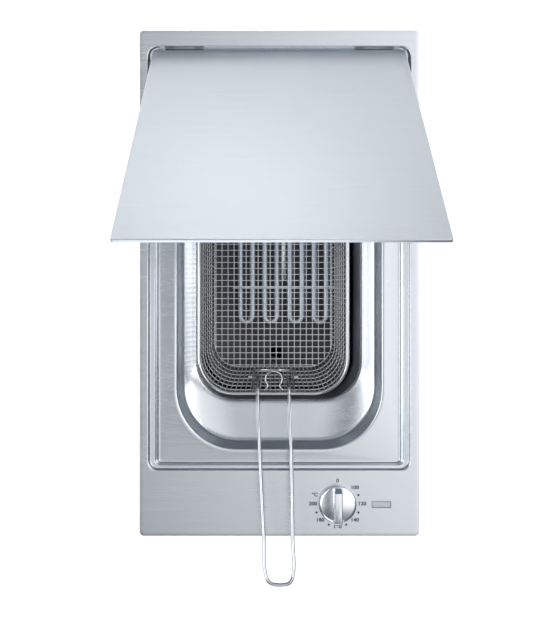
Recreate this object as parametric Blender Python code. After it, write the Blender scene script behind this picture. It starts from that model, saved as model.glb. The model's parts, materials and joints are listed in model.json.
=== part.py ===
"""Built-in deep fryer: a narrow stainless-steel module that hangs by its rim in a worktop cut-out.

Metres, +Z up. The origin is the middle of the cut-out on the worktop's surface, -Y is the side the
cook stands on. The lid stands open and the basket's handle lies out over the control panel.
"""
from math import cos, pi, radians, sin

import bmesh
import bpy
from mathutils import Matrix, Vector

MM = 0.001
GAP = 0.3 * MM            # between pieces that touch or seat on each other

# ---- driving sizes: tray ----
TRAY_WIDTH = 288 * MM
TRAY_LENGTH = 520 * MM
TRAY_CORNER = 5 * MM
RIM_RISE = 4 * MM         # tray top above the worktop
SHEET = 1 * MM
SIDE_FLANGE = 9.2 * MM
REAR_FLANGE = 16.4 * MM
PANEL_DEPTH = 67.8 * MM   # control panel, front to rear
RECESS_CORNER = 10 * MM
RECESS_DEPTH = 10 * MM    # recess floor below the tray top
LEDGE_DEPTH = 3 * MM      # lid seat below the tray top
SIDE_FLOOR = 28.5 * MM    # recess outline to well outline
FRONT_FLOOR = 20.6 * MM
REAR_FLOOR = 46.5 * MM
WELL_CORNER = 62 * MM
WELL_DEPTH = 18.4 * MM    # recess floor to the outer edge of the sloping shelf
SHELF_DROP = 5.4 * MM     # slope of that shelf
SIDE_SHELF = 20.7 * MM    # well outline to container mouth
FRONT_SHELF = 50.1 * MM
REAR_SHELF = 43.8 * MM
MOUTH_CORNER = 40 * MM

# ---- driving sizes: container, basket, handle ----
CONTAINER_DEPTH = 113.4 * MM   # mouth edge to the container's floor
CONTAINER_TAPER = 2.4 * MM
BASKET_GAP_LEFT = 0.7 * MM     # rim wire to mouth edge
BASKET_GAP_RIGHT = 13 * MM
BASKET_GAP_FRONT = 6 * MM
BASKET_GAP_REAR = 22 * MM
BASKET_CORNER = 38 * MM
BASKET_HEIGHT = 107 * MM
BASKET_TAPER_SIDE = 13 * MM
BASKET_TAPER_END = 22 * MM
BASKET_WALL = 1.2 * MM
BASKET_ROUND = 5 * MM          # rounding between the basket's wall and floor
BASKET_DROP = 8 * MM           # rim wire below the tray top
RIM_WIRE = 4 * MM
HANDLE_WIRE = 4 * MM
HANDLE_LENGTH = 204 * MM       # pivot to the outer end, along Y
HANDLE_SLOPE = radians(15.5)
HANDLE_SPREAD = 32.2 * MM      # between the two legs at the basket
HANDLE_END = 26.6 * MM         # between the two legs at the outer end
HANDLE_LEAN = radians(2.0)     # the handle lies slightly askew
PIVOT_BELOW_RIM = 20 * MM
PIVOT_INSET = 18 * MM          # pivot behind the basket's front edge
BRACKET_DROP = 20 * MM         # bracket's cross bar below the pivot

# ---- driving sizes: lid and hinges ----
LID_THICKNESS = 2.7 * MM
LID_SIDE_GAP = 3.1 * MM        # lid edge to the ledge's outer wall
LID_FRONT_GAP = 1.2 * MM
LID_CORNER = 2.2 * MM
LID_OPEN = radians(60.2)
HINGE_FROM_WALL = 4.7 * MM     # pin axis in front of the recess's rear wall
HINGE_SPACING = 196 * MM
HINGE_WIDTH = 40 * MM
KNUCKLE_RADIUS = 2.5 * MM
PIN_RADIUS = 1.2 * MM

# ---- driving sizes: heating element ----
TUBE_COUNT = 8
TUBE_PITCH = 13.9 * MM
TUBE_RADIUS = 3.25 * MM
TUBE_CENTRE_X = 5.2 * MM
TUBE_HEIGHT = 20 * MM          # tube axis above the container's floor
TUBE_GAP_FRONT = 76 * MM       # front bend to the mouth edge
RISER_GAP = 12 * MM            # riser axis to the mouth's rear edge
BARREL_RADIUS = 8 * MM
BARREL_BEHIND_MOUTH = 19 * MM
BARREL_HEIGHT = 10.5 * MM      # barrel axis above the shelf's outer edge

# ---- driving sizes: controls ----
KNOB_X = 59.8 * MM
KNOB_FROM_FRONT = 33.5 * MM
KNOB_RADIUS = 19.2 * MM
KNOB_HEIGHT = 19 * MM
KNOB_SKIRT = 7.5 * MM
GRIP_WIDTH = 9.6 * MM
SHAFT_RADIUS = 3 * MM
LAMP_X = 104.9 * MM
LAMP_FROM_FRONT = 32.7 * MM
LAMP_SIZE = (19.3 * MM, 6.5 * MM)

# ---- driving sizes: housing under the worktop ----
CASING_DEPTH = 205 * MM
CASING_INSET = 11.5 * MM       # casing wall inside the recess outline
CASING_CORNER = 6 * MM
CONTROL_BOX_DEPTH = 62 * MM
SLOT_COUNT = 9
DRAIN_X = -2 * MM
DRAIN_FROM_MOUTH = 45 * MM
PIPE_RADIUS = 9 * MM
PIPE_BORE = 7 * MM
PIPE_DROP = 34 * MM            # container floor to the pipe's axis
VALVE_SIZE = (28 * MM, 32 * MM, 28 * MM)
BALL_RADIUS = 10 * MM
STEM_RADIUS = 3 * MM
LEVER_LENGTH = 46 * MM

for old in list(bpy.data.objects):
    bpy.data.objects.remove(old, do_unlink=True)


# ---- materials ----
def finish(name, colour, roughness, metallic):
    material = bpy.data.materials.new(name)
    material.use_nodes = True
    shader = material.node_tree.nodes["Principled BSDF"]
    shader.inputs["Base Color"].default_value = (*colour, 1)
    shader.inputs["Roughness"].default_value = roughness
    shader.inputs["Metallic"].default_value = metallic
    return material


BRUSHED = (0.75, 0.78, 0.82)
BRIGHT = (0.82, 0.84, 0.87)
SATIN = (0.66, 0.69, 0.73)
ZINC = (0.58, 0.60, 0.62)
TUBE_GREY = (0.45, 0.50, 0.58)
BLACK = (0.03, 0.03, 0.035)
BRASS = (0.72, 0.58, 0.30)
LENS = (0.80, 0.80, 0.82)
CERAMIC = (0.85, 0.83, 0.78)
RED = (0.55, 0.05, 0.04)


# ---- mesh helpers ----
def empty(name, location, turn_x=0.0):
    holder = bpy.data.objects.new(name, None)
    holder.location = location
    holder.rotation_euler.x = turn_x
    bpy.context.scene.collection.objects.link(holder)
    return holder


def piece(name, mesh, colour, roughness=0.3, metallic=1.0, holder=None, sharp=35):
    """An object for one sub-part; its mesh is in the holder's space, or in world space without one."""
    thing = bpy.data.objects.new(name, mesh)
    bpy.context.scene.collection.objects.link(thing)
    mesh.materials.append(finish(name, colour, roughness, metallic))
    mesh.shade_smooth()
    mesh.set_sharp_from_angle(angle=radians(sharp))
    if holder:
        thing.parent = holder
    return thing


def mesh_from(form, name):
    mesh = bpy.data.meshes.new(name)
    form.to_mesh(mesh)
    form.free()
    return mesh


def ring(x0, x1, y0, y1, corner, z, steps=6):
    """A rounded rectangle, anticlockwise from above, with the same number of points for every size."""
    corner = max(min(corner, (x1 - x0) / 2 - MM / 10, (y1 - y0) / 2 - MM / 10), MM / 10)
    centres = ((x1 - corner, y1 - corner), (x0 + corner, y1 - corner),
               (x0 + corner, y0 + corner), (x1 - corner, y0 + corner))
    points = []
    for quarter, (cx, cy) in enumerate(centres):
        for step in range(steps + 1):
            angle = (quarter + step / steps) * pi / 2
            points.append(Vector((cx + corner * cos(angle), cy + corner * sin(angle), z)))
    return points


def circle(cx, cy, radius, z, sides=24):
    return [Vector((cx + radius * cos(2 * pi * n / sides), cy + radius * sin(2 * pi * n / sides), z))
            for n in range(sides)]


def loft(name, rings, cap_first=False, cap_last=False, loop=False):
    """A skin through rings of equal point counts; loop joins the last ring to the first."""
    form = bmesh.new()
    rows = [[form.verts.new(point) for point in points] for points in rings]
    pairs = list(zip(rows, rows[1:])) + ([(rows[-1], rows[0])] if loop else [])
    for outer, inner in pairs:
        count = len(outer)
        for n in range(count):
            after = (n + 1) % count
            form.faces.new((outer[n], outer[after], inner[after], inner[n]))
    if cap_first:
        form.faces.new(list(reversed(rows[0])))
    if cap_last:
        form.faces.new(rows[-1])
    if loop or (cap_first and cap_last):
        bmesh.ops.recalc_face_normals(form, faces=form.faces)
    return mesh_from(form, name)


def block(name, low, high, bevel=0.0):
    """A box with its vertical edges rounded."""
    corner = max(bevel, MM / 10)
    steps = 3 if bevel else 1
    return loft(name, [ring(low[0], high[0], low[1], high[1], corner, z, steps) for z in (low[2], high[2])],
                cap_first=True, cap_last=True)


def turned(name, centre, profile, axis="Z", sides=24):
    """A closed turned solid. profile: (radius, height) from one end's outer edge round to the bore.

    The first and the last point lie on the axis, or the profile closes on itself round a bore.
    """
    solid_ends = profile[0][0] == 0 and profile[-1][0] == 0
    inner = profile[1:-1] if solid_ends else profile
    rings = [circle(0, 0, radius, height, sides) for radius, height in inner]
    mesh = loft(name, rings, cap_first=solid_ends, cap_last=solid_ends, loop=not solid_ends)
    turn = {"Z": Matrix(), "X": Matrix.Rotation(pi / 2, 4, "Y"), "Y": Matrix.Rotation(-pi / 2, 4, "X")}[axis]
    mesh.transform(Matrix.Translation(centre) @ turn)
    return mesh


def rod(name, start, end, radius, sides=16):
    """A straight round bar between two points."""
    start, end = Vector(start), Vector(end)
    length = (end - start).length
    mesh = loft(name, [circle(0, 0, radius, z, sides) for z in (0, length)], cap_first=True, cap_last=True)
    turn = (end - start).to_track_quat("Z", "Y").to_matrix().to_4x4()
    mesh.transform(Matrix.Translation(start) @ turn)
    return mesh


def swept(name, path, radius, sides=8, closed=False, bore=0.0):
    """A round wire or pipe along a path, its section carried on without twist."""
    path = [Vector(point) for point in path]
    count = len(path)
    tangents = []
    for n in range(count):
        before = path[n - 1] if closed or n else path[0]
        after = path[(n + 1) % count] if closed or n < count - 1 else path[-1]
        tangents.append((after - before).normalized())
    side = tangents[0].orthogonal().normalized()
    frames = []
    for n in range(count):
        if n:
            side = tangents[n - 1].rotation_difference(tangents[n]) @ side
        side = (side - side.dot(tangents[n]) * tangents[n]).normalized()
        frames.append((side.copy(), tangents[n].cross(side)))
    def section(n, size):
        u, v = frames[n]
        return [path[n] + size * (cos(2 * pi * k / sides) * u + sin(2 * pi * k / sides) * v)
                for k in range(sides)]
    outer = [section(n, radius) for n in range(count)]
    if bore:
        inner = [section(n, bore) for n in reversed(range(count))]
        return loft(name, outer + inner, loop=True)
    return loft(name, outer, cap_first=not closed, cap_last=not closed, loop=closed)


def arc(centre, radius, first, last, steps, plane):
    """Points on an arc in the plane of two unit vectors, first and last in degrees."""
    u, v = (Vector(axis) for axis in plane)
    angles = [radians(first + (last - first) * n / steps) for n in range(steps + 1)]
    return [Vector(centre) + radius * (cos(angle) * u + sin(angle) * v) for angle in angles]


def boolean(thing, tool, operation):
    """Cuts or joins another object; the tool is left as a hidden guide."""
    step = thing.modifiers.new(tool.name, "BOOLEAN")
    step.operation = operation
    step.object = tool
    step.solver = "EXACT"
    tool.hide_render = True
    tool.display_type = "WIRE"


def guide(name, mesh, holder=None):
    tool = bpy.data.objects.new(name, mesh)
    bpy.context.scene.collection.objects.link(tool)
    if holder:
        tool.parent = holder
    return tool


def cut(thing, mesh, holder=None):
    boolean(thing, guide("cutter_" + mesh.name, mesh, holder), "DIFFERENCE")


def add(thing, mesh, holder=None):
    boolean(thing, guide("shape_" + mesh.name, mesh, holder), "UNION")


def joined(name, meshes):
    """Several closed meshes as one cutter mesh."""
    form = bmesh.new()
    for mesh in meshes:
        form.from_mesh(mesh)
    return mesh_from(form, name)


# ---- tray: flange, control panel, recess, well, mouth ----
TOP = RIM_RISE
HALF_WIDTH = TRAY_WIDTH / 2
FRONT = -TRAY_LENGTH / 2
REAR = TRAY_LENGTH / 2
RECESS = (HALF_WIDTH - SIDE_FLANGE, FRONT + PANEL_DEPTH, REAR - REAR_FLANGE)
FLOOR_Z = TOP - RECESS_DEPTH
LEDGE_Z = TOP - LEDGE_DEPTH
WELL = (RECESS[0] - SIDE_FLOOR, RECESS[1] + FRONT_FLOOR, RECESS[2] - REAR_FLOOR)
SHELF_Z = FLOOR_Z - WELL_DEPTH
MOUTH = (WELL[0] - SIDE_SHELF, WELL[1] + FRONT_SHELF, WELL[2] - REAR_SHELF)
MOUTH_Z = SHELF_Z - SHELF_DROP - 3.6 * MM


def inset_ring(outline, corner, inward, z, steps=6):
    """A ring set inward from an outline (half width, front, rear) by (side, front, rear) amounts."""
    side, front, rear = inward
    return ring(-outline[0] + side, outline[0] - side, outline[1] + front, outline[2] - rear,
                corner - side, z, steps)


TRAY_OUTLINE = (HALF_WIDTH, FRONT, REAR)
skirt = [(0, 0.5 * MM), (0, 2.6 * MM), (0.4 * MM, TOP - 0.4 * MM), (1.2 * MM, TOP)]
tray_rings = [inset_ring(TRAY_OUTLINE, TRAY_CORNER, (inward,) * 3, z) for inward, z in skirt]
# lip, lid ledge and step: inward at the sides, front and rear, then height
recess_steps = [
    (-0.7, -0.7, -0.7, TOP), (0.3, 0.3, 0.2, TOP - 0.5 * MM), (1.1, 1.1, 0.7, TOP - 1.6 * MM),
    (1.5, 1.5, 1.0, LEDGE_Z + 0.4 * MM), (2.1, 2.0, 1.3, LEDGE_Z), (6.2, 4.7, 1.6, LEDGE_Z),
    (7.0, 5.3, 1.9, LEDGE_Z - 0.5 * MM), (9.2, 6.5, 2.2, FLOOR_Z + 1.8 * MM),
    (10.0, 7.0, 2.5, FLOOR_Z + 0.4 * MM), (10.5, 7.4, 2.8, FLOOR_Z),
]
for side, front, rear, z in recess_steps:
    corner = RECESS_CORNER - side * 0.25 * MM
    tray_rings.append(inset_ring(RECESS, corner, (side * MM, front * MM, rear * MM), z))
well_steps = [
    (-0.8, -0.8, FLOOR_Z), (0.3, 0.3, FLOOR_Z - 0.6 * MM), (1.1, 1.1, FLOOR_Z - 2.2 * MM),
    (5.1, 5.7, SHELF_Z + 3.7 * MM), (5.9, 6.9, SHELF_Z + 1.6 * MM), (7.3, 8.5, SHELF_Z + 0.4 * MM),
    (8.7, 10.1, SHELF_Z),
]
for side, end, z in well_steps:
    tray_rings.append(inset_ring(WELL, WELL_CORNER, (side * MM, end * MM, end * MM), z))
mouth_steps = [
    (-3.6, -5.5, SHELF_Z - SHELF_DROP + 1 * MM), (-1.9, -2.4, SHELF_Z - SHELF_DROP + 0.5 * MM),
    (-0.6, -0.7, SHELF_Z - SHELF_DROP - 0.8 * MM), (0, 0, MOUTH_Z),
]
for side, end, z in mouth_steps:
    tray_rings.append(inset_ring(MOUTH, MOUTH_CORNER, (side * MM, end * MM, end * MM), z))
hob_tray = piece("hob_tray", loft("hob_tray", tray_rings), BRUSHED, 0.32)
press = hob_tray.modifiers.new("sheet", "SOLIDIFY")
press.thickness = SHEET
press.offset = -1
press.use_even_offset = True

KNOB = Vector((KNOB_X, FRONT + KNOB_FROM_FRONT, TOP))
LAMP = Vector((LAMP_X, FRONT + LAMP_FROM_FRONT, TOP))
shaft_hole = turned("shaft_hole", (KNOB.x, KNOB.y, TOP - 5 * MM),
                    [(0, 0), (SHAFT_RADIUS + 0.8 * MM, 0), (SHAFT_RADIUS + 0.8 * MM, 9 * MM), (0, 9 * MM)])
lamp_half = Vector((LAMP_SIZE[0] / 2, LAMP_SIZE[1] / 2, 0))
lamp_fit = lamp_half + Vector((GAP, GAP, 5 * MM))
cut(hob_tray, shaft_hole)
cut(hob_tray, block("lamp_hole", LAMP - lamp_fit, LAMP + lamp_fit))

# ---- foam seal between the rim and the worktop ----
SEAL_OUTER = SHEET + 1.2 * MM
SEAL_INNER = SIDE_FLANGE - SHEET - 1.2 * MM
seal_rings = [inset_ring(TRAY_OUTLINE, TRAY_CORNER + 2 * MM, (inward,) * 3, z) for inward, z in (
    (SEAL_OUTER, 0), (SEAL_OUTER, TOP - SHEET - GAP), (SEAL_INNER, TOP - SHEET - GAP), (SEAL_INNER, 0))]
piece("worktop_seal", loft("worktop_seal", seal_rings, loop=True), BLACK, 0.9, 0)

# ---- oil container, welded under the mouth ----
POT_Z = MOUTH_Z - GAP
POT_FLOOR = POT_Z - CONTAINER_DEPTH
pot_steps = [
    (-7, POT_Z), (-1.2, POT_Z), (-0.3, POT_Z - 0.9 * MM), (0.1, POT_Z - 3.3 * MM),
    (CONTAINER_TAPER / MM, POT_FLOOR + 9 * MM), (CONTAINER_TAPER / MM + 2.1, POT_FLOOR + 3 * MM),
    (CONTAINER_TAPER / MM + 8.6, POT_FLOOR),
]
pot_rings = [inset_ring(MOUTH, MOUTH_CORNER, (inward * MM,) * 3, z) for inward, z in pot_steps]
oil_container = piece("oil_container", loft("oil_container", pot_rings, cap_last=True), SATIN, 0.28)
draw = oil_container.modifiers.new("sheet", "SOLIDIFY")
draw.thickness = SHEET
draw.offset = -1
draw.use_even_offset = True
DRAIN = Vector((DRAIN_X, MOUTH[1] + DRAIN_FROM_MOUTH, POT_FLOOR))
NIPPLE = PIPE_RADIUS + 0.6 * MM
cut(oil_container, turned("drain_hole", DRAIN - Vector((0, 0, 4 * MM)),
                          [(0, 0), (NIPPLE + GAP, 0), (NIPPLE + GAP, 9 * MM), (0, 9 * MM)]))

# ---- drain: fitting, elbow, ball valve, spout ----
pipe_z = POT_FLOOR - PIPE_DROP
fitting_low = POT_FLOOR - 15 * MM
under = POT_FLOOR - SHEET - GAP
piece("drain_fitting", turned("drain_fitting", (DRAIN.x, DRAIN.y, 0), [
    (NIPPLE, POT_FLOOR - 0.4 * MM), (NIPPLE, under), (17 * MM, under), (17 * MM, under - 4 * MM),
    (PIPE_RADIUS + 2 * MM, under - 4 * MM), (PIPE_RADIUS + 2 * MM, fitting_low),
    (PIPE_BORE, fitting_low), (PIPE_BORE, POT_FLOOR - 0.4 * MM)]), ZINC, 0.35)
casing_front = RECESS[1] + 9.5 * MM
casing_rear = RECESS[2] - 7.5 * MM
casing_half = RECESS[0] - CASING_INSET
BEND = 16 * MM
valve_rear = casing_front - 9 * MM
elbow_path = [(DRAIN.x, DRAIN.y, fitting_low - GAP)] + arc(
    (DRAIN.x, DRAIN.y - BEND, pipe_z + BEND), BEND, 0, -90, 6, ((0, 1, 0), (0, 0, 1)))
elbow_path.append((DRAIN.x, valve_rear + GAP, pipe_z))
piece("drain_elbow", swept("drain_elbow", elbow_path, PIPE_RADIUS, 12, bore=PIPE_BORE), BRASS, 0.4)

valve = Vector((DRAIN.x, valve_rear - VALVE_SIZE[1] / 2, pipe_z))
valve_half = Vector(VALVE_SIZE) / 2
valve_body = piece("valve_body", block("valve_body", valve - valve_half, valve + valve_half, 4 * MM),
                   BRASS, 0.35)
cut(valve_body, rod("valve_bore", valve + Vector((0, -30 * MM, 0)), valve + Vector((0, 30 * MM, 0)),
                    PIPE_BORE, 16))
BALL_SIDES = 20
ball_steps = [(sin(pi * n / 10), -cos(pi * n / 10)) for n in range(1, 10)]


def ball(name, radius):
    profile = [(0, -radius)] + [(radius * r, radius * h) for r, h in ball_steps] + [(0, radius)]
    return turned(name, valve, profile, sides=BALL_SIDES)


cut(valve_body, ball("ball_seat", BALL_RADIUS + 2 * GAP))
stem_top = valve.z + valve_half.z + 8 * MM
stem_low = valve.z + BALL_RADIUS + GAP
cut(valve_body, rod("stem_bore", (valve.x, valve.y, valve.z), (valve.x, valve.y, stem_top),
                    STEM_RADIUS + GAP, 12))
ball_bore = rod("ball_bore", valve - Vector((20 * MM, 0, 0)), valve + Vector((20 * MM, 0, 0)),
                PIPE_BORE - 1 * MM, 12)
cut(piece("valve_ball", ball("valve_ball", BALL_RADIUS), BRIGHT, 0.1), ball_bore)
piece("valve_stem", rod("valve_stem", (valve.x, valve.y, stem_low), (valve.x, valve.y, stem_top),
                        STEM_RADIUS, 12), ZINC)
lever_z = stem_top - 4 * MM
valve_lever = piece("valve_lever", block(
    "valve_lever", (valve.x - 7 * MM, valve.y - 6 * MM, lever_z),
    (valve.x + LEVER_LENGTH, valve.y + 6 * MM, lever_z + 2.5 * MM), 5 * MM), RED, 0.45, 0)
cut(valve_lever, rod("lever_eye", (valve.x, valve.y, lever_z - 5 * MM), (valve.x, valve.y, lever_z + 9 * MM),
                     STEM_RADIUS + GAP, 12))
spout_start = valve.y - valve_half.y - GAP
spout_path = [(valve.x, spout_start, pipe_z)] + arc(
    (valve.x, spout_start - 4 * MM, pipe_z - 12 * MM), 12 * MM, 90, 180, 5, ((0, 1, 0), (0, 0, 1)))
spout_path.append((valve.x, spout_start - 16 * MM, pipe_z - 24 * MM))
piece("drain_spout", swept("drain_spout", spout_path, PIPE_RADIUS - 1 * MM, 12, bore=PIPE_BORE - 1 * MM),
      BRASS, 0.4)

# ---- lower casing and base ----
casing_top = FLOOR_Z - SHEET - GAP
casing_low = -CASING_DEPTH


def casing_ring(inward, z):
    return ring(-casing_half + inward, casing_half - inward, casing_front + inward, casing_rear - inward,
                CASING_CORNER - inward, z, 3)


casing_shell = piece("casing_shell", loft("casing_shell", [
    casing_ring(0, casing_low), casing_ring(0, casing_top), casing_ring(SHEET, casing_top),
    casing_ring(SHEET, casing_low)], loop=True), ZINC, 0.42)
SLOT_PITCH, SLOT_WIDTH = 22 * MM, 5 * MM
SLOT_LOW, SLOT_HIGH = 25 * MM, 60 * MM        # above the casing's lower edge
slots = []
for n in range(SLOT_COUNT):
    y = (casing_front + casing_rear) / 2 + (n - (SLOT_COUNT - 1) / 2) * SLOT_PITCH
    slots.append(block("slot", (-casing_half - 5 * MM, y - SLOT_WIDTH / 2, casing_low + SLOT_LOW),
                       (casing_half + 5 * MM, y + SLOT_WIDTH / 2, casing_low + SLOT_HIGH)))
cut(casing_shell, joined("side_slots", slots))
cut(casing_shell, rod("pipe_hole", (DRAIN.x, casing_front - 8 * MM, pipe_z),
                      (DRAIN.x, casing_front + 8 * MM, pipe_z), PIPE_RADIUS + 2 * MM, 16))
WIRES = Vector((KNOB.x - 20 * MM, 0, -42 * MM))
WIRE_HOLE = 8 * MM
cut(casing_shell, rod("wire_hole", (WIRES.x, casing_front - 8 * MM, WIRES.z),
                      (WIRES.x, casing_front + 8 * MM, WIRES.z), WIRE_HOLE, 16))
base_top = casing_low - GAP
BASE_LIP = 10 * MM
casing_base = piece("casing_base", loft("casing_base", [
    casing_ring(2 * SHEET + GAP, base_top), casing_ring(2 * SHEET + GAP, base_top + BASE_LIP),
    casing_ring(SHEET + GAP, base_top + BASE_LIP), casing_ring(SHEET + GAP, base_top),
    casing_ring(0, base_top), casing_ring(0, base_top - SHEET)], cap_first=True, cap_last=True), ZINC, 0.42)
VENT_HALF, VENT_PITCH = Vector((30 * MM, 2.5 * MM, 9 * MM)), 18 * MM
vents = []
for n in range(-2, 3):
    vent = Vector((0, (casing_front + casing_rear) / 2 + n * VENT_PITCH, base_top))
    vents.append(block("vent", vent - VENT_HALF, vent + VENT_HALF))
cut(casing_base, joined("base_vents", vents))

# ---- control box under the panel, with the thermostat, lamp and thermal cut-out ----
box_front = FRONT + 16 * MM
box_rear = RECESS[1] - SHEET - GAP
box_top = TOP - SHEET - GAP
box_low = -CONTROL_BOX_DEPTH


def box_ring(inward, z):
    return ring(-casing_half + inward, casing_half - inward, box_front + inward, box_rear - inward,
                4 * MM - inward, z, 3)


control_box = piece("control_box", loft("control_box", [
    box_ring(SHEET, box_low + SHEET), box_ring(SHEET, box_top), box_ring(0, box_top), box_ring(0, box_low)],
    cap_first=True, cap_last=True), ZINC, 0.42)
cut(control_box, rod("box_wire_hole", (WIRES.x, box_rear - 8 * MM, WIRES.z),
                     (WIRES.x, box_rear + 8 * MM, WIRES.z), WIRE_HOLE, 16))
GROMMET = WIRE_HOLE - GAP
piece("wiring_grommet", swept("wiring_grommet", [
    (WIRES.x, box_rear - 4 * MM, WIRES.z), (WIRES.x, casing_front + 4 * MM, WIRES.z)],
    GROMMET, 16, bore=GROMMET - 2 * MM), BLACK, 0.7, 0)

RUNNING = 0.1 * MM
thermostat_top = TOP - SHEET - GAP
BODY_HALF = (18 * MM, 13 * MM)
BODY_LOW, BODY_HIGH = -38 * MM, -8 * MM
NECK_RADIUS = 7 * MM
SHAFT_LOW = -30 * MM
SHAFT_TOP = TOP + 12 * MM
thermostat_body = piece("thermostat_body", block(
    "thermostat_body", (KNOB.x - BODY_HALF[0], KNOB.y - BODY_HALF[1], BODY_LOW),
    (KNOB.x + BODY_HALF[0], KNOB.y + BODY_HALF[1], BODY_HIGH), 2 * MM), CERAMIC, 0.6, 0)
add(thermostat_body, rod("neck", (KNOB.x, KNOB.y, BODY_HIGH - 4 * MM), (KNOB.x, KNOB.y, thermostat_top),
                         NECK_RADIUS, 16))
cut(thermostat_body, rod("shaft_bore", (KNOB.x, KNOB.y, SHAFT_LOW - 1 * MM), (KNOB.x, KNOB.y, 9 * MM),
                         SHAFT_RADIUS + RUNNING, 16))
piece("knob_shaft", rod("knob_shaft", (KNOB.x, KNOB.y, SHAFT_LOW), (KNOB.x, KNOB.y, SHAFT_TOP),
                        SHAFT_RADIUS, 16), BRIGHT)

knob_low = TOP + 0.8 * MM
skirt_top = TOP + KNOB_SKIRT
control_knob = piece("control_knob", turned("control_knob", (KNOB.x, KNOB.y, 0), [
    (0, knob_low), (KNOB_RADIUS, knob_low), (KNOB_RADIUS, skirt_top - 1 * MM),
    (KNOB_RADIUS - 1 * MM, skirt_top), (0, skirt_top)], sides=32), BRUSHED, 0.22)
grip = turned("grip", (KNOB.x, KNOB.y, 0), [
    (0, knob_low + 1 * MM), (KNOB_RADIUS, knob_low + 1 * MM), (KNOB_RADIUS, TOP + KNOB_HEIGHT - 1 * MM),
    (KNOB_RADIUS - 1 * MM, TOP + KNOB_HEIGHT), (0, TOP + KNOB_HEIGHT)], sides=32)
grip_bar = guide("shape_grip", grip)
slab = guide("shape_slab", block("slab", (KNOB.x - GRIP_WIDTH / 2, KNOB.y - 30 * MM, knob_low),
                                 (KNOB.x + GRIP_WIDTH / 2, KNOB.y + 30 * MM, TOP + 40 * MM)))
boolean(grip_bar, slab, "INTERSECT")
boolean(control_knob, grip_bar, "UNION")
cut(control_knob, rod("knob_socket", (KNOB.x, KNOB.y, 0), (KNOB.x, KNOB.y, SHAFT_TOP + GAP),
                      SHAFT_RADIUS + GAP, 16))

LENS_DEPTH = Vector((0, 0, 9 * MM))           # below the tray top
LENS_RISE = Vector((0, 0, 0.6 * MM))          # above it
HOUSING_HALF, HOUSING_DEPTH = (11 * MM, 5 * MM), 22 * MM
lens_low = TOP - LENS_DEPTH.z
piece("indicator_lens", block("indicator_lens", LAMP - lamp_half - LENS_DEPTH, LAMP + lamp_half + LENS_RISE,
                              0.8 * MM), LENS, 0.15, 0)
piece("lamp_housing", block(
    "lamp_housing", (LAMP.x - HOUSING_HALF[0], LAMP.y - HOUSING_HALF[1], lens_low - HOUSING_DEPTH),
    (LAMP.x + HOUSING_HALF[0], LAMP.y + HOUSING_HALF[1], lens_low - GAP), 1 * MM), BLACK, 0.5, 0)

CUTOUT = Vector((-60 * MM, KNOB.y, box_low + SHEET + GAP))
CUTOUT_RADIUS, CUTOUT_CROWN = 10 * MM, 6 * MM
CUTOUT_SHOULDER, CUTOUT_HEIGHT = 9 * MM, 12 * MM
BUTTON_RADIUS = 3 * MM
BUTTON_TRAVEL = 2 * MM
BUTTON_PROUD = 6 * MM
thermal_cutout = piece("thermal_cutout", turned("thermal_cutout", CUTOUT, [
    (0, 0), (CUTOUT_RADIUS, 0), (CUTOUT_RADIUS, CUTOUT_SHOULDER), (CUTOUT_CROWN, CUTOUT_HEIGHT),
    (0, CUTOUT_HEIGHT)]), CERAMIC, 0.6, 0)
bore_reach = Vector((0, 0, CUTOUT_SHOULDER))
button_hole = rod("button_bore", CUTOUT - bore_reach, CUTOUT + bore_reach, BUTTON_RADIUS + GAP, 16)
cut(thermal_cutout, button_hole)
cut(control_box, button_hole.copy())
button_top = CUTOUT_SHOULDER - BUTTON_TRAVEL - 2 * GAP
piece("reset_button", turned("reset_button", CUTOUT, [
    (0, -BUTTON_PROUD), (BUTTON_RADIUS - 0.5 * MM, -BUTTON_PROUD), (BUTTON_RADIUS, 0.5 * MM - BUTTON_PROUD),
    (BUTTON_RADIUS, button_top), (0, button_top)], sides=16), RED, 0.4, 0)

# ---- mains connection on the rear of the casing ----
COVER_HALF, COVER_DEPTH, COVER_WALL = 38 * MM, 15 * MM, 1.5 * MM
COVER_LOW, COVER_HIGH = -150 * MM, -92 * MM
cover_low = Vector((-COVER_HALF, casing_rear + GAP, COVER_LOW))
cover_high = Vector((COVER_HALF, casing_rear + COVER_DEPTH, COVER_HIGH))
terminal_cover = piece("terminal_cover", block("terminal_cover", cover_low, cover_high, 2 * MM),
                       BLACK, 0.5, 0)
hollow = Vector((COVER_WALL,) * 3)
cut(terminal_cover, block("cover_hollow", cover_low + hollow - Vector((0, 5 * MM, 0)), cover_high - hollow))
cable_x = 20 * MM
GLAND = 8 * MM
CABLE_BORE = 4 * MM
cut(terminal_cover, rod("cable_hole", (cable_x, casing_rear + 8 * MM, cover_low.z - 5 * MM),
                        (cable_x, casing_rear + 8 * MM, cover_low.z + 5 * MM), CABLE_BORE + 0.5 * MM, 16))
BLOCK_HALF, BLOCK_DEPTH = 30 * MM, 10 * MM
BLOCK_LOW, BLOCK_HIGH = -128 * MM, -104 * MM
piece("terminal_block", block("terminal_block", (-BLOCK_HALF, casing_rear + GAP, BLOCK_LOW),
                              (BLOCK_HALF, casing_rear + BLOCK_DEPTH, BLOCK_HIGH), 1 * MM), CERAMIC, 0.6, 0)
piece("cable_gland", turned("cable_gland", (cable_x, casing_rear + 8.5 * MM, cover_low.z - GAP), [
    (GLAND - 1.8 * MM, 0), (GLAND - 1.8 * MM, -3 * MM), (GLAND - 1 * MM, -3 * MM),
    (GLAND - 1 * MM, -9 * MM), (GLAND - 2.4 * MM, -14 * MM), (CABLE_BORE, -14 * MM), (CABLE_BORE, 0)],
    sides=16), BLACK, 0.6, 0)

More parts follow.
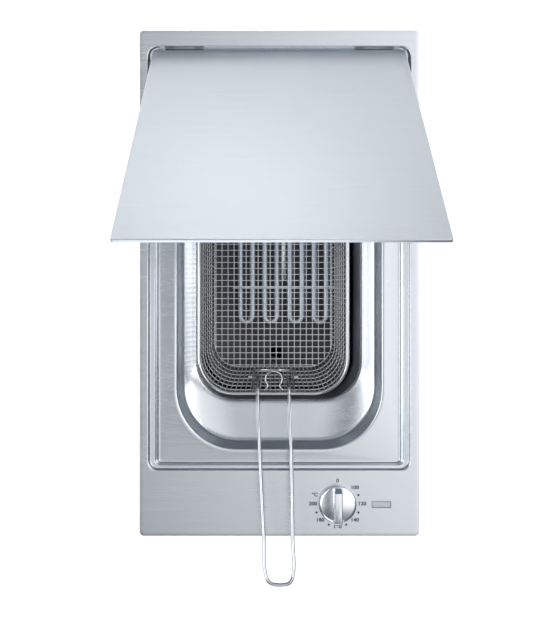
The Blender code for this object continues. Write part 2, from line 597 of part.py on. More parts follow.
# ---- worktop clamps on the casing's sides ----
CLAMP_WIDTH = 18 * MM
CLAW_Z = -44 * MM
CLAW_LEG = 26 * MM
CLAW_FOLD = 2 * MM
CLAW_TIP = (15 * MM, 7 * MM)                  # outwards and upwards
CLAW_SCREW = 15 * MM                          # below the bend
CLAW_HOLE, SHANK_RADIUS, HEAD_RADIUS = 2.3 * MM, 2 * MM, 4.4 * MM
clamp_places = ((-1, casing_front + 32 * MM), (1, casing_front + 32 * MM),
                (-1, casing_rear - 46 * MM), (1, casing_rear - 46 * MM))
for number, (sign, y) in enumerate(clamp_places, 1):
    face = casing_half + GAP
    outline = [(face, CLAW_Z - CLAW_LEG), (face, CLAW_Z),
               (face + CLAW_TIP[0] - CLAW_FOLD, CLAW_Z + CLAW_TIP[1] + 1 * MM),
               (face + CLAW_TIP[0], CLAW_Z + CLAW_TIP[1]), (face + CLAW_FOLD, CLAW_Z - CLAW_FOLD),
               (face + CLAW_FOLD, CLAW_Z - CLAW_LEG)]
    sides_of_claw = [[Vector((sign * x, y + end, z)) for x, z in outline]
                     for end in (-CLAMP_WIDTH / 2, CLAMP_WIDTH / 2)]
    claw = piece(f"clamp_claw_{number}", loft("claw", sides_of_claw, cap_first=True, cap_last=True), ZINC)
    screw_z = CLAW_Z - CLAW_SCREW
    hole = rod(f"clamp_hole_{number}", (sign * (face - 20 * MM), y, screw_z),
               (sign * (face + 12 * MM), y, screw_z), CLAW_HOLE, 10)
    cut(claw, hole)
    cut(casing_shell, hole.copy())
    screw = piece(f"clamp_screw_{number}", rod("shank", (sign * (face - 9 * MM), y, screw_z),
                                               (sign * (face + 3 * MM), y, screw_z), SHANK_RADIUS, 10), ZINC)
    add(screw, rod(f"head_{number}", (sign * (face + CLAW_FOLD + GAP), y, screw_z),
                   (sign * (face + 5 * MM), y, screw_z), HEAD_RADIUS, 10))

# ---- hinges: brackets and pins on the tray, leaves on the lid ----
AXIS = Vector((0, RECESS[2] - 1 * MM - HINGE_FROM_WALL, LEDGE_Z))
KNUCKLE = 10 * MM
for side_name, sign in (("left", -1), ("right", 1)):
    x = sign * HINGE_SPACING / 2
    bracket_top = FLOOR_Z + GAP + 1.2 * MM
    bracket = piece(f"hinge_bracket_{side_name}", block(
        "bracket_plate", (x - HINGE_WIDTH / 2, AXIS.y - 22 * MM, FLOOR_Z + GAP),
        (x + HINGE_WIDTH / 2, AXIS.y + KNUCKLE_RADIUS, bracket_top), 1 * MM), BRIGHT)
    for end in (-1, 1):
        outer = x + end * HINGE_WIDTH / 2
        inner = outer - end * KNUCKLE
        low_x, high_x = min(outer, inner), max(outer, inner)
        add(bracket, rod(f"knuckle_{side_name}_{end}", (low_x, AXIS.y, AXIS.z), (high_x, AXIS.y, AXIS.z),
                         KNUCKLE_RADIUS, 12))
        ear_half = KNUCKLE_RADIUS - 0.2 * MM
        add(bracket, block(f"ear_{side_name}_{end}", (low_x, AXIS.y - ear_half, FLOOR_Z + 2 * GAP),
                           (high_x, AXIS.y + ear_half, AXIS.z)))
    pin_hole = rod(f"pin_hole_{side_name}", (x - HINGE_WIDTH, AXIS.y, AXIS.z),
                   (x + HINGE_WIDTH, AXIS.y, AXIS.z), PIN_RADIUS + RUNNING, 12)
    cut(bracket, pin_hole)
    pin_reach = Vector((HINGE_WIDTH / 2 + 1 * MM, 0, 0))
    middle = Vector((x, AXIS.y, AXIS.z))
    piece(f"hinge_pin_{side_name}", rod("pin", middle - pin_reach, middle + pin_reach, PIN_RADIUS, 12),
          BRIGHT)

# ---- lid, made closed about the hinge axis and turned open ----
lid_holder = empty("lid_axis", AXIS, -LID_OPEN)
lid_half = RECESS[0] - 2.1 * MM - LID_SIDE_GAP
lid_front = RECESS[1] + 2.0 * MM + LID_FRONT_GAP - AXIS.y
lid_rear = 0
lid_low = GAP
lid_high = lid_low + LID_THICKNESS
HEM = 1.5 * MM
SKIN = 1.1 * MM


def lid_ring(inward, z, steps=3):
    return ring(-lid_half + inward, lid_half - inward, lid_front + inward, lid_rear - inward,
                LID_CORNER - inward, z, steps)


lid_panel = piece("lid_panel", loft("lid_panel", [
    lid_ring(HEM, lid_high - SKIN), lid_ring(HEM, lid_low), lid_ring(0.3 * MM, lid_low),
    lid_ring(0, lid_low + 0.3 * MM), lid_ring(0, lid_high - 0.5 * MM), lid_ring(0.5 * MM, lid_high)],
    cap_first=True, cap_last=True), BRUSHED, 0.3, holder=lid_holder)
lid_liner = piece("lid_liner", loft("lid_liner", [
    lid_ring(HEM + GAP, lid_low + 0.3 * MM), lid_ring(HEM + GAP, lid_high - SKIN - GAP)],
    cap_first=True, cap_last=True), SATIN, 0.35, holder=lid_holder)
notches = []
for sign in (-1, 1):
    x = sign * HINGE_SPACING / 2
    notches.append(block("notch", (x - HINGE_WIDTH / 2 - 1.5 * MM, -KNUCKLE_RADIUS - 1 * MM, -9 * MM),
                         (x + HINGE_WIDTH / 2 + 1.5 * MM, 9 * MM, 9 * MM)))
notch_tool = joined("hinge_notches", notches)
cut(lid_panel, notch_tool, lid_holder)
cut(lid_liner, notch_tool.copy(), lid_holder)
LEAF_TOP = lid_low + 0.3 * MM - GAP
LEAF = 1.2 * MM
LEAF_REACH = 34 * MM
for side_name, sign in (("left", -1), ("right", 1)):
    x = sign * HINGE_SPACING / 2
    middle = HINGE_WIDTH / 2 - KNUCKLE - GAP
    leaf = piece(f"hinge_leaf_{side_name}", block(
        "leaf", (x - HINGE_WIDTH / 2, -LEAF_REACH, LEAF_TOP - LEAF),
        (x + HINGE_WIDTH / 2, -4 * MM, LEAF_TOP), 1 * MM), BRIGHT, holder=lid_holder)
    add(leaf, block(f"tongue_{side_name}", (x - middle, -8 * MM, LEAF_TOP - LEAF), (x + middle, 0, LEAF_TOP)),
        lid_holder)
    add(leaf, rod(f"leaf_knuckle_{side_name}", (x - middle, 0, 0), (x + middle, 0, 0), KNUCKLE_RADIUS, 12),
        lid_holder)
    cut(leaf, rod(f"leaf_bore_{side_name}", (x - HINGE_WIDTH, 0, 0), (x + HINGE_WIDTH, 0, 0),
                  PIN_RADIUS + RUNNING, 12), lid_holder)

# ---- heating element: two tubes of four lengths each, hung from a barrel behind the mouth ----
tube_z = POT_FLOOR + TUBE_HEIGHT
bend = TUBE_PITCH / 2
front_bend_y = MOUTH[1] + TUBE_GAP_FRONT + TUBE_RADIUS + bend
riser_y = MOUTH[2] - RISER_GAP
RISER_BEND = 12 * MM
rear_bend_y = riser_y - RISER_BEND - 3 * MM
BARREL = Vector((TUBE_CENTRE_X, MOUTH[2] + BARREL_BEHIND_MOUTH, SHELF_Z + BARREL_HEIGHT))
entry_z = BARREL.z - 2 * MM
flat_plane = ((1, 0, 0), (0, 1, 0))
side_plane = ((0, 1, 0), (0, 0, 1))


def riser(x):
    """Up the container's rear wall, over the mouth and back to the barrel."""
    low = arc((x, riser_y - RISER_BEND, tube_z + RISER_BEND), RISER_BEND, -90, 0, 4, side_plane)
    high = arc((x, riser_y + RISER_BEND, entry_z - RISER_BEND), RISER_BEND, 180, 90, 4, side_plane)
    return low + high + [Vector((x, BARREL.y - BARREL_RADIUS - GAP, entry_z))]


def tube_path(lengths):
    """Down one riser, forward and back along the lengths, and up the last one."""
    a, b, c, d = lengths
    path = list(reversed(riser(a)))
    path += arc(((a + b) / 2, front_bend_y, tube_z), bend, 180, 360, 6, flat_plane)
    path += arc(((b + c) / 2, rear_bend_y, tube_z), bend, 180, 0, 6, flat_plane)
    path += arc(((c + d) / 2, front_bend_y, tube_z), bend, 180, 360, 6, flat_plane)
    return path + riser(d)


lengths = [TUBE_CENTRE_X + (n - (TUBE_COUNT - 1) / 2) * TUBE_PITCH for n in range(TUBE_COUNT)]
for side_name, four in (("left", lengths[:4]), ("right", lengths[4:])):
    piece(f"heating_tube_{side_name}", swept("tube", tube_path(four), TUBE_RADIUS, 8), TUBE_GREY, 0.35)

barrel_half = TUBE_PITCH * TUBE_COUNT / 2 + 4 * MM
TRUNNION = 4 * MM
BRACKET_HALF = 6.5 * MM
element_barrel = piece("element_barrel", turned("element_barrel", BARREL, [
    (0, -barrel_half - 10 * MM), (TRUNNION, -barrel_half - 10 * MM), (TRUNNION, -barrel_half),
    (BARREL_RADIUS, -barrel_half), (BARREL_RADIUS, barrel_half), (TRUNNION, barrel_half),
    (TRUNNION, barrel_half + 10 * MM), (0, barrel_half + 10 * MM)], axis="X", sides=16), SATIN, 0.3)


def outside(x, y, outline, corner, side, end):
    """How far a point lies outside a rounded outline set inward by (side, end)."""
    half, front, rear = outline
    corner -= side
    middle, reach_y = (front + rear) / 2, (rear - front) / 2 - end
    over = Vector((max(abs(x) - half + side + corner, 0), max(abs(y - middle) - reach_y + corner, 0)))
    return over.length - corner


def shelf_height(x, y):
    """Height of the sloping shelf between the well's foot and the mouth."""
    from_foot = -outside(x, y, WELL, WELL_CORNER, 8.7 * MM, 10.1 * MM)
    from_mouth = outside(x, y, MOUTH, MOUTH_CORNER, -3.6 * MM, -5.5 * MM)
    share = min(max(from_foot / (from_foot + from_mouth), 0), 1)
    return SHELF_Z - share * (SHELF_DROP - 1 * MM)


for side_name, sign in (("left", -1), ("right", 1)):
    inner = BARREL.x + sign * (barrel_half + 1 * MM)
    outer = BARREL.x + sign * (barrel_half + 8 * MM)
    corners = [(x, BARREL.y + end * BRACKET_HALF) for x in (inner, outer) for end in (-1, 1)]
    rest_z = max(shelf_height(x, y) for x, y in corners) + GAP
    bracket = piece(f"element_bracket_{side_name}", block(
        "element_bracket", (min(inner, outer), BARREL.y - BRACKET_HALF, rest_z),
        (max(inner, outer), BARREL.y + BRACKET_HALF, BARREL.z + BRACKET_HALF), 2 * MM), SATIN, 0.3)
    cut(bracket, rod(f"trunnion_hole_{side_name}", (inner - 20 * MM, BARREL.y, BARREL.z),
                     (inner + 20 * MM, BARREL.y, BARREL.z), TRUNNION + RUNNING, 16))

basket_floor = TOP - BASKET_DROP - BASKET_HEIGHT
BRACE = 3 * MM
BRACE_BELOW, BRACE_ABOVE, BRACE_REACH = 7 * MM, 5 * MM, 8 * MM
BRACE_SHARES = {"front": 0.2, "rear": 0.78}   # of the element's length, from its front bend
REST_WIDTH = 4 * MM
element_length = rear_bend_y - front_bend_y
x_low, x_high = lengths[0] - BRACE_REACH, lengths[-1] + BRACE_REACH
for end_name, share in BRACE_SHARES.items():
    y = front_bend_y + share * element_length
    brace = piece(f"element_brace_{end_name}", block(
        "brace", (x_low, y - BRACE / 2, tube_z - BRACE_BELOW), (x_high, y + BRACE / 2, tube_z + BRACE_ABOVE)),
        SATIN, 0.4)
    cut(brace, joined(f"tube_holes_{end_name}", [
        rod("hole", (x, y - 9 * MM, tube_z), (x, y + 9 * MM, tube_z), TUBE_RADIUS + GAP, 8)
        for x in lengths]))
    for side_name, x in (("left", lengths[0] + TUBE_PITCH / 2), ("right", lengths[-1] - TUBE_PITCH / 2)):
        add(brace, block(f"basket_rest_{end_name}_{side_name}", (x - REST_WIDTH / 2, y - BRACE / 2, tube_z),
                         (x + REST_WIDTH / 2, y + BRACE / 2, basket_floor - GAP)))

BULB = 2.8 * MM
bulb_z = tube_z + TUBE_RADIUS + BULB + 2 * GAP
bulb_start = front_bend_y + BRACE_SHARES["front"] * element_length + 8 * MM
bulb_end = front_bend_y + BRACE_SHARES["rear"] * element_length - 12 * MM
CAPILLARY = 1 * MM
piece("thermostat_bulb", rod("thermostat_bulb", (TUBE_CENTRE_X, bulb_start, bulb_z),
                             (TUBE_CENTRE_X, bulb_end, bulb_z), BULB, 12), BRASS, 0.3)
capillary_path = [(TUBE_CENTRE_X, bulb_end + GAP, bulb_z)] + arc(
    (TUBE_CENTRE_X, riser_y - RISER_BEND, bulb_z + RISER_BEND), RISER_BEND, -90, 0, 4, side_plane) + arc(
    (TUBE_CENTRE_X, riser_y + RISER_BEND, entry_z - RISER_BEND), RISER_BEND, 180, 90, 4, side_plane)
capillary_path.append((TUBE_CENTRE_X, BARREL.y - BARREL_RADIUS - GAP, entry_z))
piece("bulb_capillary", swept("bulb_capillary", capillary_path, CAPILLARY, 6), BRASS, 0.3)

# ---- basket: wire-mesh body, rim wire, handle bracket, catch loop ----
RIM_Z = TOP - BASKET_DROP
BASKET = (-MOUTH[0] + BASKET_GAP_LEFT, MOUTH[0] - BASKET_GAP_RIGHT, MOUTH[1] + BASKET_GAP_FRONT,
          MOUTH[2] - BASKET_GAP_REAR)
basket_x = (BASKET[0] + BASKET[1]) / 2


def basket_ring(inward, z, steps=4):
    """The basket's outline at a height: it tapers from the rim down to the floor."""
    depth = (RIM_Z - z) / BASKET_HEIGHT
    side = inward + depth * BASKET_TAPER_SIDE
    end = inward + depth * BASKET_TAPER_END
    return ring(BASKET[0] + side, BASKET[1] - side, BASKET[2] + end, BASKET[3] - end,
                BASKET_CORNER - inward - depth * 8 * MM, z, steps)


shell_top = RIM_Z - RIM_WIRE / 2 - GAP
shell_in = RIM_WIRE / 2 - BASKET_WALL / 2
round_z = basket_floor + BASKET_ROUND
basket_inside = shell_in + BASKET_WALL
piece("basket_mesh", loft("basket_mesh", [
    basket_ring(basket_inside + BASKET_ROUND, basket_floor + BASKET_WALL),
    basket_ring(basket_inside, round_z),
    basket_ring(basket_inside, shell_top), basket_ring(shell_in, shell_top), basket_ring(shell_in, round_z),
    basket_ring(shell_in + BASKET_ROUND, basket_floor)], cap_first=True, cap_last=True), BRIGHT, 0.25)
piece("basket_rim", swept("basket_rim", basket_ring(RIM_WIRE / 2, RIM_Z, 6), RIM_WIRE / 2, 8, closed=True),
      BRIGHT, 0.12)

BRACKET_WIRE = 1.25 * MM
PIVOT = Vector((basket_x, BASKET[2] + PIVOT_INSET, RIM_Z - PIVOT_BELOW_RIM))
bracket_half = HANDLE_SPREAD / 2 + HANDLE_WIRE / 2 + 2.6 * MM
wall_front = BASKET[2] + RIM_WIRE + GAP
EYE_CLEARANCE = 0.5 * MM
eye = HANDLE_WIRE / 2 + EYE_CLEARANCE + BRACKET_WIRE
bracket_path = []
for sign in (-1, 1):
    leg_x = basket_x + sign * bracket_half
    inner_y = PIVOT.y + eye + 2 * MM
    leg = [Vector((leg_x, wall_front + BRACKET_WIRE, RIM_Z + 0.5 * MM)),
           Vector((leg_x, PIVOT.y - eye - 1 * MM, PIVOT.z + 9 * MM)),
           Vector((leg_x, PIVOT.y + 1 * MM, PIVOT.z + eye + 0.4 * MM)),
           Vector((leg_x, PIVOT.y + eye + 0.4 * MM, PIVOT.z + 0.5 * MM)),
           Vector((leg_x, inner_y, PIVOT.z + 1.5 * MM - BRACKET_DROP)),
           Vector((leg_x - sign * 1.5 * MM, inner_y, PIVOT.z - BRACKET_DROP))]
    bracket_path += leg if sign < 0 else list(reversed(leg))
basket_bracket = piece("basket_bracket", swept("basket_bracket", bracket_path, BRACKET_WIRE, 8), BRIGHT, 0.12)
for sign in (-1, 1):
    eye_ring = swept(f"eye_{sign}", arc((basket_x + sign * bracket_half, PIVOT.y, PIVOT.z), eye, 15, 345, 11,
                                        side_plane), BRACKET_WIRE, 8, closed=True)
    add(basket_bracket, eye_ring)

LOOP_WIRE = 0.9 * MM
loop_y = wall_front + LOOP_WIRE
loop_radius = 8.6 * MM
loop_centre = (basket_x + 0.5 * MM, loop_y + 11 * MM, RIM_Z)
loop_path = [Vector((basket_x - 9.5 * MM, loop_y, RIM_Z)),
             Vector((basket_x - 6.5 * MM, loop_y + 2.5 * MM, RIM_Z))]
loop_path += arc(loop_centre, loop_radius, 225, -45, 14, flat_plane)
loop_path += [Vector((basket_x + 7.5 * MM, loop_y + 2.5 * MM, RIM_Z)),
              Vector((basket_x + 10.5 * MM, loop_y, RIM_Z))]
piece("catch_loop", swept("catch_loop", loop_path, LOOP_WIRE, 6), BRIGHT, 0.12)

# ---- basket handle: one wire, its bent ends turning in the bracket's eyes ----
reach = HANDLE_LENGTH - HANDLE_WIRE / 2
crest = Vector((0, RIM_WIRE / 2 + 1 * MM - PIVOT_INSET,
                PIVOT_BELOW_RIM + RIM_WIRE / 2 + HANDLE_WIRE / 2 + 2 * GAP))
END_BEND = 9 * MM


def handle_point(across, along):
    """A point of the handle, across its width and along -Y from the pivot."""
    lean = (along - PIVOT_INSET) * sin(HANDLE_LEAN) if along > PIVOT_INSET else 0
    rise = crest.z + (along + crest.y) * sin(HANDLE_SLOPE) / cos(HANDLE_SLOPE)
    return PIVOT + Vector((across + lean, -along, rise))


def leg_half(along):
    """Half the handle's width: parallel at the basket, drawing in towards the outer end."""
    share = max(0.0, (along - 60 * MM) / (reach - 60 * MM))
    return HANDLE_SPREAD / 2 - (HANDLE_SPREAD - HANDLE_END) / 2 * share ** 1.4


def handle_leg(sign):
    half = HANDLE_SPREAD / 2
    stub = [PIVOT + Vector((sign * (half + 10 * MM), 0, 0)), PIVOT + Vector((sign * (half + 2.5 * MM), 0, 0)),
            PIVOT + Vector((sign * half, -0.8 * MM, 2.2 * MM))]
    neck = [PIVOT + Vector((sign * half, crest.y + 7.5 * MM, crest.z - 7 * MM)),
            PIVOT + Vector((sign * half, crest.y + 4 * MM, crest.z - 1.6 * MM))]
    stations = [-crest.y + 2.5 * MM, 40 * MM, 75 * MM, 105 * MM, 135 * MM, 160 * MM, reach - END_BEND]
    return stub + neck + [handle_point(sign * leg_half(along), along) for along in stations]


half_end = HANDLE_END / 2
end_points = []
for first, last, sign in ((180, 270, -1), (270, 360, 1)):
    for n in range(5):
        angle = radians(first + (last - first) * n / 4)
        end_points.append(handle_point(sign * (half_end - END_BEND) + END_BEND * cos(angle),
                                       reach - END_BEND - END_BEND * sin(angle)))
handle_path = handle_leg(-1) + end_points[1:-1] + list(reversed(handle_leg(1)))
piece("basket_handle", swept("basket_handle", handle_path, HANDLE_WIRE / 2, 8), BRIGHT, 0.1)
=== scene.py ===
"""Built-in deep fryer, the finished look: every sheet, wire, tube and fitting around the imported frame.

Metres, +Z up, -Y towards the cook. Sizes that end in MM are written in millimetres.
"""
import json
from math import atan2, cos, pi, radians, sin, tan

import bmesh
import bpy
from mathutils import Matrix, Vector


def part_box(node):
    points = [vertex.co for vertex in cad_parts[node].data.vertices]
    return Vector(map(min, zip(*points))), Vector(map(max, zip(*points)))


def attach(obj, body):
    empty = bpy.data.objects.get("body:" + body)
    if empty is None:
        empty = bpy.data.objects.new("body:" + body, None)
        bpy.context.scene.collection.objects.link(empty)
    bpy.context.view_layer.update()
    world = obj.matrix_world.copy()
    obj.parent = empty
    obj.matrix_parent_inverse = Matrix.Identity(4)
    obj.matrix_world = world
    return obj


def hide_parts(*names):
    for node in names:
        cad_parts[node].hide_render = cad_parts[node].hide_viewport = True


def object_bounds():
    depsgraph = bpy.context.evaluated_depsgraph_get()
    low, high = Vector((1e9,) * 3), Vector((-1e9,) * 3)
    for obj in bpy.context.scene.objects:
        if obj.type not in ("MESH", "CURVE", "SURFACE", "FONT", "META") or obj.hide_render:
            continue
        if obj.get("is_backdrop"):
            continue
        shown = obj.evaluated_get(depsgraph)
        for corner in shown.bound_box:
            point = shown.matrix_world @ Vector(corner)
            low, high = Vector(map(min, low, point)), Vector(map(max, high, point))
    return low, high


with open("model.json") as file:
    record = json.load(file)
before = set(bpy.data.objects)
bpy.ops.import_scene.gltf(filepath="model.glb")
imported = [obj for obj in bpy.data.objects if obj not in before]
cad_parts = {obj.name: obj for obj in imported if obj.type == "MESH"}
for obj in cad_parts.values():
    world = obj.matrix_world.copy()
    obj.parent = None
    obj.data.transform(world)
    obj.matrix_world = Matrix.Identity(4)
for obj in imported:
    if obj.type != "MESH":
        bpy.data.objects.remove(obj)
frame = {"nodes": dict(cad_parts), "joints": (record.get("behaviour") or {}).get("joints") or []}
cad_low, cad_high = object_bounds()
joints = {joint["name"]: joint for joint in frame["joints"]}
MM = 0.001


# ---- studio ----
# A pale sweep under the fryer, a camera straight over the basket, and soft light that is
# fuller on the cook's right than on the left, as one large window would give it.
class Value:
    """A number, colour or vector in a node tree; arithmetic on it adds Math nodes."""

    def __init__(self, finish, socket):
        self.finish, self.socket = finish, socket

    def math(self, operation, *others):
        return self.finish.node("ShaderNodeMath", {"operation": operation},
                                dict(enumerate((self, *others))))

    def __add__(self, other):
        return self.math("ADD", other)

    def __mul__(self, other):
        return self.math("MULTIPLY", other)

    def __sub__(self, other):
        return self.math("SUBTRACT", other)

    def __rsub__(self, other):
        return self.finish.node("ShaderNodeMath", {"operation": "SUBTRACT"}, {0: other, 1: self})

    def __truediv__(self, other):
        return self.math("DIVIDE", other)

    __radd__ = __add__
    __rmul__ = __mul__


class Nodes:
    """A node tree, and one way to add a node to it: type, settings, sockets and the output wanted."""

    def __init__(self, tree):
        self.tree = tree

    def node(self, kind, settings=(), inputs=(), output=0):
        made = self.tree.nodes.new(kind)
        for name, setting in dict(settings).items():
            if name == "stops":
                stops = made.color_ramp.elements
                while len(stops) < len(setting):
                    stops.new(1.0)
                for stop, (place, colour) in zip(stops, setting):
                    stop.position, stop.color = place, colour
            else:
                setattr(made, name, setting)
        for socket, value in dict(inputs).items():
            if isinstance(value, Value):
                self.tree.links.new(value.socket, made.inputs[socket])
            else:
                made.inputs[socket].default_value = value
        return Value(self, made.outputs[output]) if made.outputs else None

    def mix(self, factor, first, second):
        return self.node("ShaderNodeMix", {"data_type": "RGBA"}, {0: factor, 6: first, 7: second}, output=2)


class Finish(Nodes):
    """The finish of a surface: a Principled shader with its fixed values and its varying ones."""

    def __init__(self, name, constants=()):
        self.material = bpy.data.materials.new(name)
        self.material.use_nodes = True
        super().__init__(self.material.node_tree)
        self.shader = self.tree.nodes["Principled BSDF"]
        for socket, value in dict(constants).items():
            self.shader.inputs[socket].default_value = value

    def place(self, scale=(1, 1, 1), turn=(0, 0, 0), centre=(0, 0, 0)):
        """Object coordinates, centred, then turned, then scaled."""
        here = self.node("ShaderNodeTexCoord", output="Object")
        moved = self.node("ShaderNodeVectorMath", {"operation": "SUBTRACT"}, {0: here, 1: centre})
        turned = self.node("ShaderNodeMapping", {}, {"Vector": moved, "Rotation": turn})
        return self.node("ShaderNodeVectorMath", {"operation": "MULTIPLY"}, {0: turned, 1: scale})

    def noise(self, vector, detail):
        return self.node("ShaderNodeTexNoise", {}, {
            "Vector": vector, "Scale": 1.0, "Detail": detail, "Roughness": 0.5})

    def surface(self, **values):
        """Links varying values to the shader: colour, roughness, glow, or height for a bump."""
        height = values.pop("height", None)
        if height:
            value, depth, strength = height
            values["normal"] = self.node("ShaderNodeBump", {}, {
                "Height": value, "Distance": depth, "Strength": strength})
        names = {"colour": "Base Color", "roughness": "Roughness", "normal": "Normal",
                 "glow": "Emission Color"}
        for name, value in values.items():
            self.tree.links.new(value.socket, self.shader.inputs[names[name]])
        return self.material


def linked(name, data):
    """An object in the scene that holds this data."""
    thing = bpy.data.objects.new(name, data)
    bpy.context.scene.collection.objects.link(thing)
    return thing


def mesh_from(form, name):
    """A mesh made of an edited form, which is then freed."""
    mesh = bpy.data.meshes.new(name)
    form.to_mesh(mesh)
    form.free()
    return mesh


CAMERA_HEIGHT = 1.384
camera = linked("camera", bpy.data.cameras.new("camera"))
bpy.context.scene.camera = camera
camera.location = (-7.1 * MM, -17.2 * MM, CAMERA_HEIGHT)
camera.data.lens = 78.0
camera.data.shift_x, camera.data.shift_y = 0.0123, -0.0161

FLOOR_HALF = 6.0
FLOOR_GAP = 0.3 * MM
GLOW = 0.55                                   # the floor gives off light of its own...
GLOW_END, GLOW_GONE = 0.36, 0.50              # ...which fades out behind the fryer
floor_form = bmesh.new()
bmesh.ops.create_grid(floor_form, x_segments=1, y_segments=1, size=FLOOR_HALF)
floor = linked("floor", mesh_from(floor_form, "floor"))
floor.location.z = cad_low.z - FLOOR_GAP
paper = Finish("pale_floor", {
    "Base Color": (0.93, 0.935, 0.94, 1), "Roughness": 0.85, "Emission Strength": GLOW})
fading = paper.node("ShaderNodeSeparateXYZ", {}, {0: paper.place()}, output="Y")
floor.data.materials.append(paper.surface(
    glow=paper.node("ShaderNodeMapRange", {"interpolation_type": "SMOOTHSTEP"}, {
        "Value": fading, "From Min": GLOW_END, "From Max": GLOW_GONE, "To Min": 1.0, "To Max": 0.0})))
floor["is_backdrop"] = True

bpy.context.scene.view_settings.view_transform = "Standard"
world = bpy.data.worlds.new("soft_room")
world.use_nodes = True
bpy.context.scene.world = world
room = Nodes(world.node_tree)
direction = room.node("ShaderNodeTexCoord", output="Generated")
split = room.node("ShaderNodeSeparateXYZ", {}, {0: direction}, output="X")
rearward = Value(room, split.socket.node.outputs["Y"])


def wall_tones(along, *tones):
    """How bright the room is along one direction, from -1 to 1: a line through (place, tone) pairs."""
    stops = [((place + 1) / 2, (tone,) * 3 + (1,)) for place, tone in tones]
    return room.node("ShaderNodeValToRGB", {"stops": stops}, {0: along * 0.5 + 0.5})


ROOM_LIGHT = 1.25
across_room = wall_tones(
    split, (-1.0, 0.03), (-0.62, 0.20), (-0.44, 1.0), (-0.31, 0.80), (-0.20, 0.0), (-0.14, 0.12),
    (-0.085, 0.55), (-0.04, 0.66), (0.05, 0.77), (0.13, 1.0), (0.50, 1.0), (0.70, 0.35), (1.0, 0.03))
along_room = wall_tones(
    rearward, (-1.0, 0.05), (-0.5, 0.12), (-0.32, 0.32), (-0.18, 0.92), (-0.12, 1.0), (0.0, 0.97),
    (0.11, 1.0), (0.2, 0.82), (0.6, 1.0), (0.8, 0.30), (1.0, 0.05))
brightness = across_room * along_room * ROOM_LIGHT
tint = room.mix(brightness, (0.80, 0.90, 1.0, 1), (1.0, 1.0, 1.0, 1))
background = world.node_tree.nodes["Background"]
world.node_tree.links.new(tint.socket, background.inputs["Color"])
world.node_tree.links.new(brightness.socket, background.inputs["Strength"])


def softbox(name, location, target, size, power, colour=(1, 1, 1)):
    light = bpy.data.lights.new(name, "AREA")
    light.shape = "RECTANGLE"
    light.size, light.size_y = size
    light.energy = power
    light.color = colour
    lamp = linked(name, light)
    lamp.location = location
    lamp.rotation_euler = (Vector(target) - Vector(location)).to_track_quat("-Z", "Y").to_euler()


softbox("window_right", (1.6, 0.5, 1.9), (0, 0, 0), (1.4, 1.4), 10)
softbox("fill_left", (-1.7, 0.1, 1.6), (-0.2, 0, -0.2), (1.2, 1.6), 15, (0.95, 0.98, 1.0))
softbox("fill_front", (-0.3, -1.9, 1.5), (0, 0, 0), (1.8, 0.9), 10, (0.93, 0.97, 1.0))
softbox("pool_behind", (-0.06, 0.98, 0.12), (-0.06, 0.90, -0.2), (0.10, 0.10), 1.3)


# ---- tray ----
# One pressed sheet of 1 mm stainless steel: rim and control panel, lid recess with its ledge,
# and the deep well whose sloping shelf leads to the mouth. Brushed left to right before pressing.
def ring(x0, x1, y0, y1, corner, z, steps=20, along=14):
    """A rounded rectangle, anticlockwise from above; along is the number of parts of each straight side."""
    corner = max(min(corner, (x1 - x0) / 2 - MM / 10, (y1 - y0) / 2 - MM / 10), MM / 10)
    centres = ((x1 - corner, y1 - corner), (x0 + corner, y1 - corner),
               (x0 + corner, y0 + corner), (x1 - corner, y0 + corner))
    arcs = [[Vector((cx + corner * cos(angle), cy + corner * sin(angle), z))
             for angle in ((quarter + step / steps) * pi / 2 for step in range(steps + 1))]
            for quarter, (cx, cy) in enumerate(centres)]
    points = []
    for arc_points, following in zip(arcs, arcs[1:] + arcs[:1]):
        points += arc_points
        points += [arc_points[-1].lerp(following[0], n / along) for n in range(1, along)]
    return points


def loft(name, rings, cap_first=False, cap_last=False, loop=False):
    """A skin through rings of equal point counts; loop joins the last ring to the first."""
    form = bmesh.new()
    rows = [[form.verts.new(point) for point in points] for points in rings]
    for outer, inner in list(zip(rows, rows[1:])) + ([(rows[-1], rows[0])] if loop else []):
        count = len(outer)
        for n in range(count):
            after = (n + 1) % count
            form.faces.new((outer[n], outer[after], inner[after], inner[n]))
    if cap_first:
        form.faces.new(list(reversed(rows[0])))
    if cap_last:
        form.faces.new(rows[-1])
    if loop or (cap_first and cap_last):
        bmesh.ops.recalc_face_normals(form, faces=form.faces)
    return mesh_from(form, name)


def eased(stations, radius, steps=5):
    """A profile of (side, front, rear, height) stations with every bend rounded by a curve."""
    stations = [Vector(station) for station in stations]
    smooth = [stations[0]]
    for before, here, after in zip(stations, stations[1:], stations[2:]):
        into, out = before - here, after - here
        first = here + into * min(radius / into.length, 0.48)
        last = here + out * min(radius / out.length, 0.48)
        for n in range(steps + 1):
            share = n / steps
            smooth.append(first * (1 - share) ** 2 + here * 2 * share * (1 - share) + last * share ** 2)
    return smooth + [stations[-1]]


def made(name, mesh, body, material, slot, replaced=(), sharp=32):
    """A finished piece at the origin that rides on a body."""
    thing = linked(name, mesh)
    mesh.materials.clear()
    mesh.materials.append(material)
    mesh.shade_smooth()
    mesh.set_sharp_from_angle(angle=radians(sharp))
    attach(thing, body)
    if replaced:
        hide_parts(*replaced)
    return thing


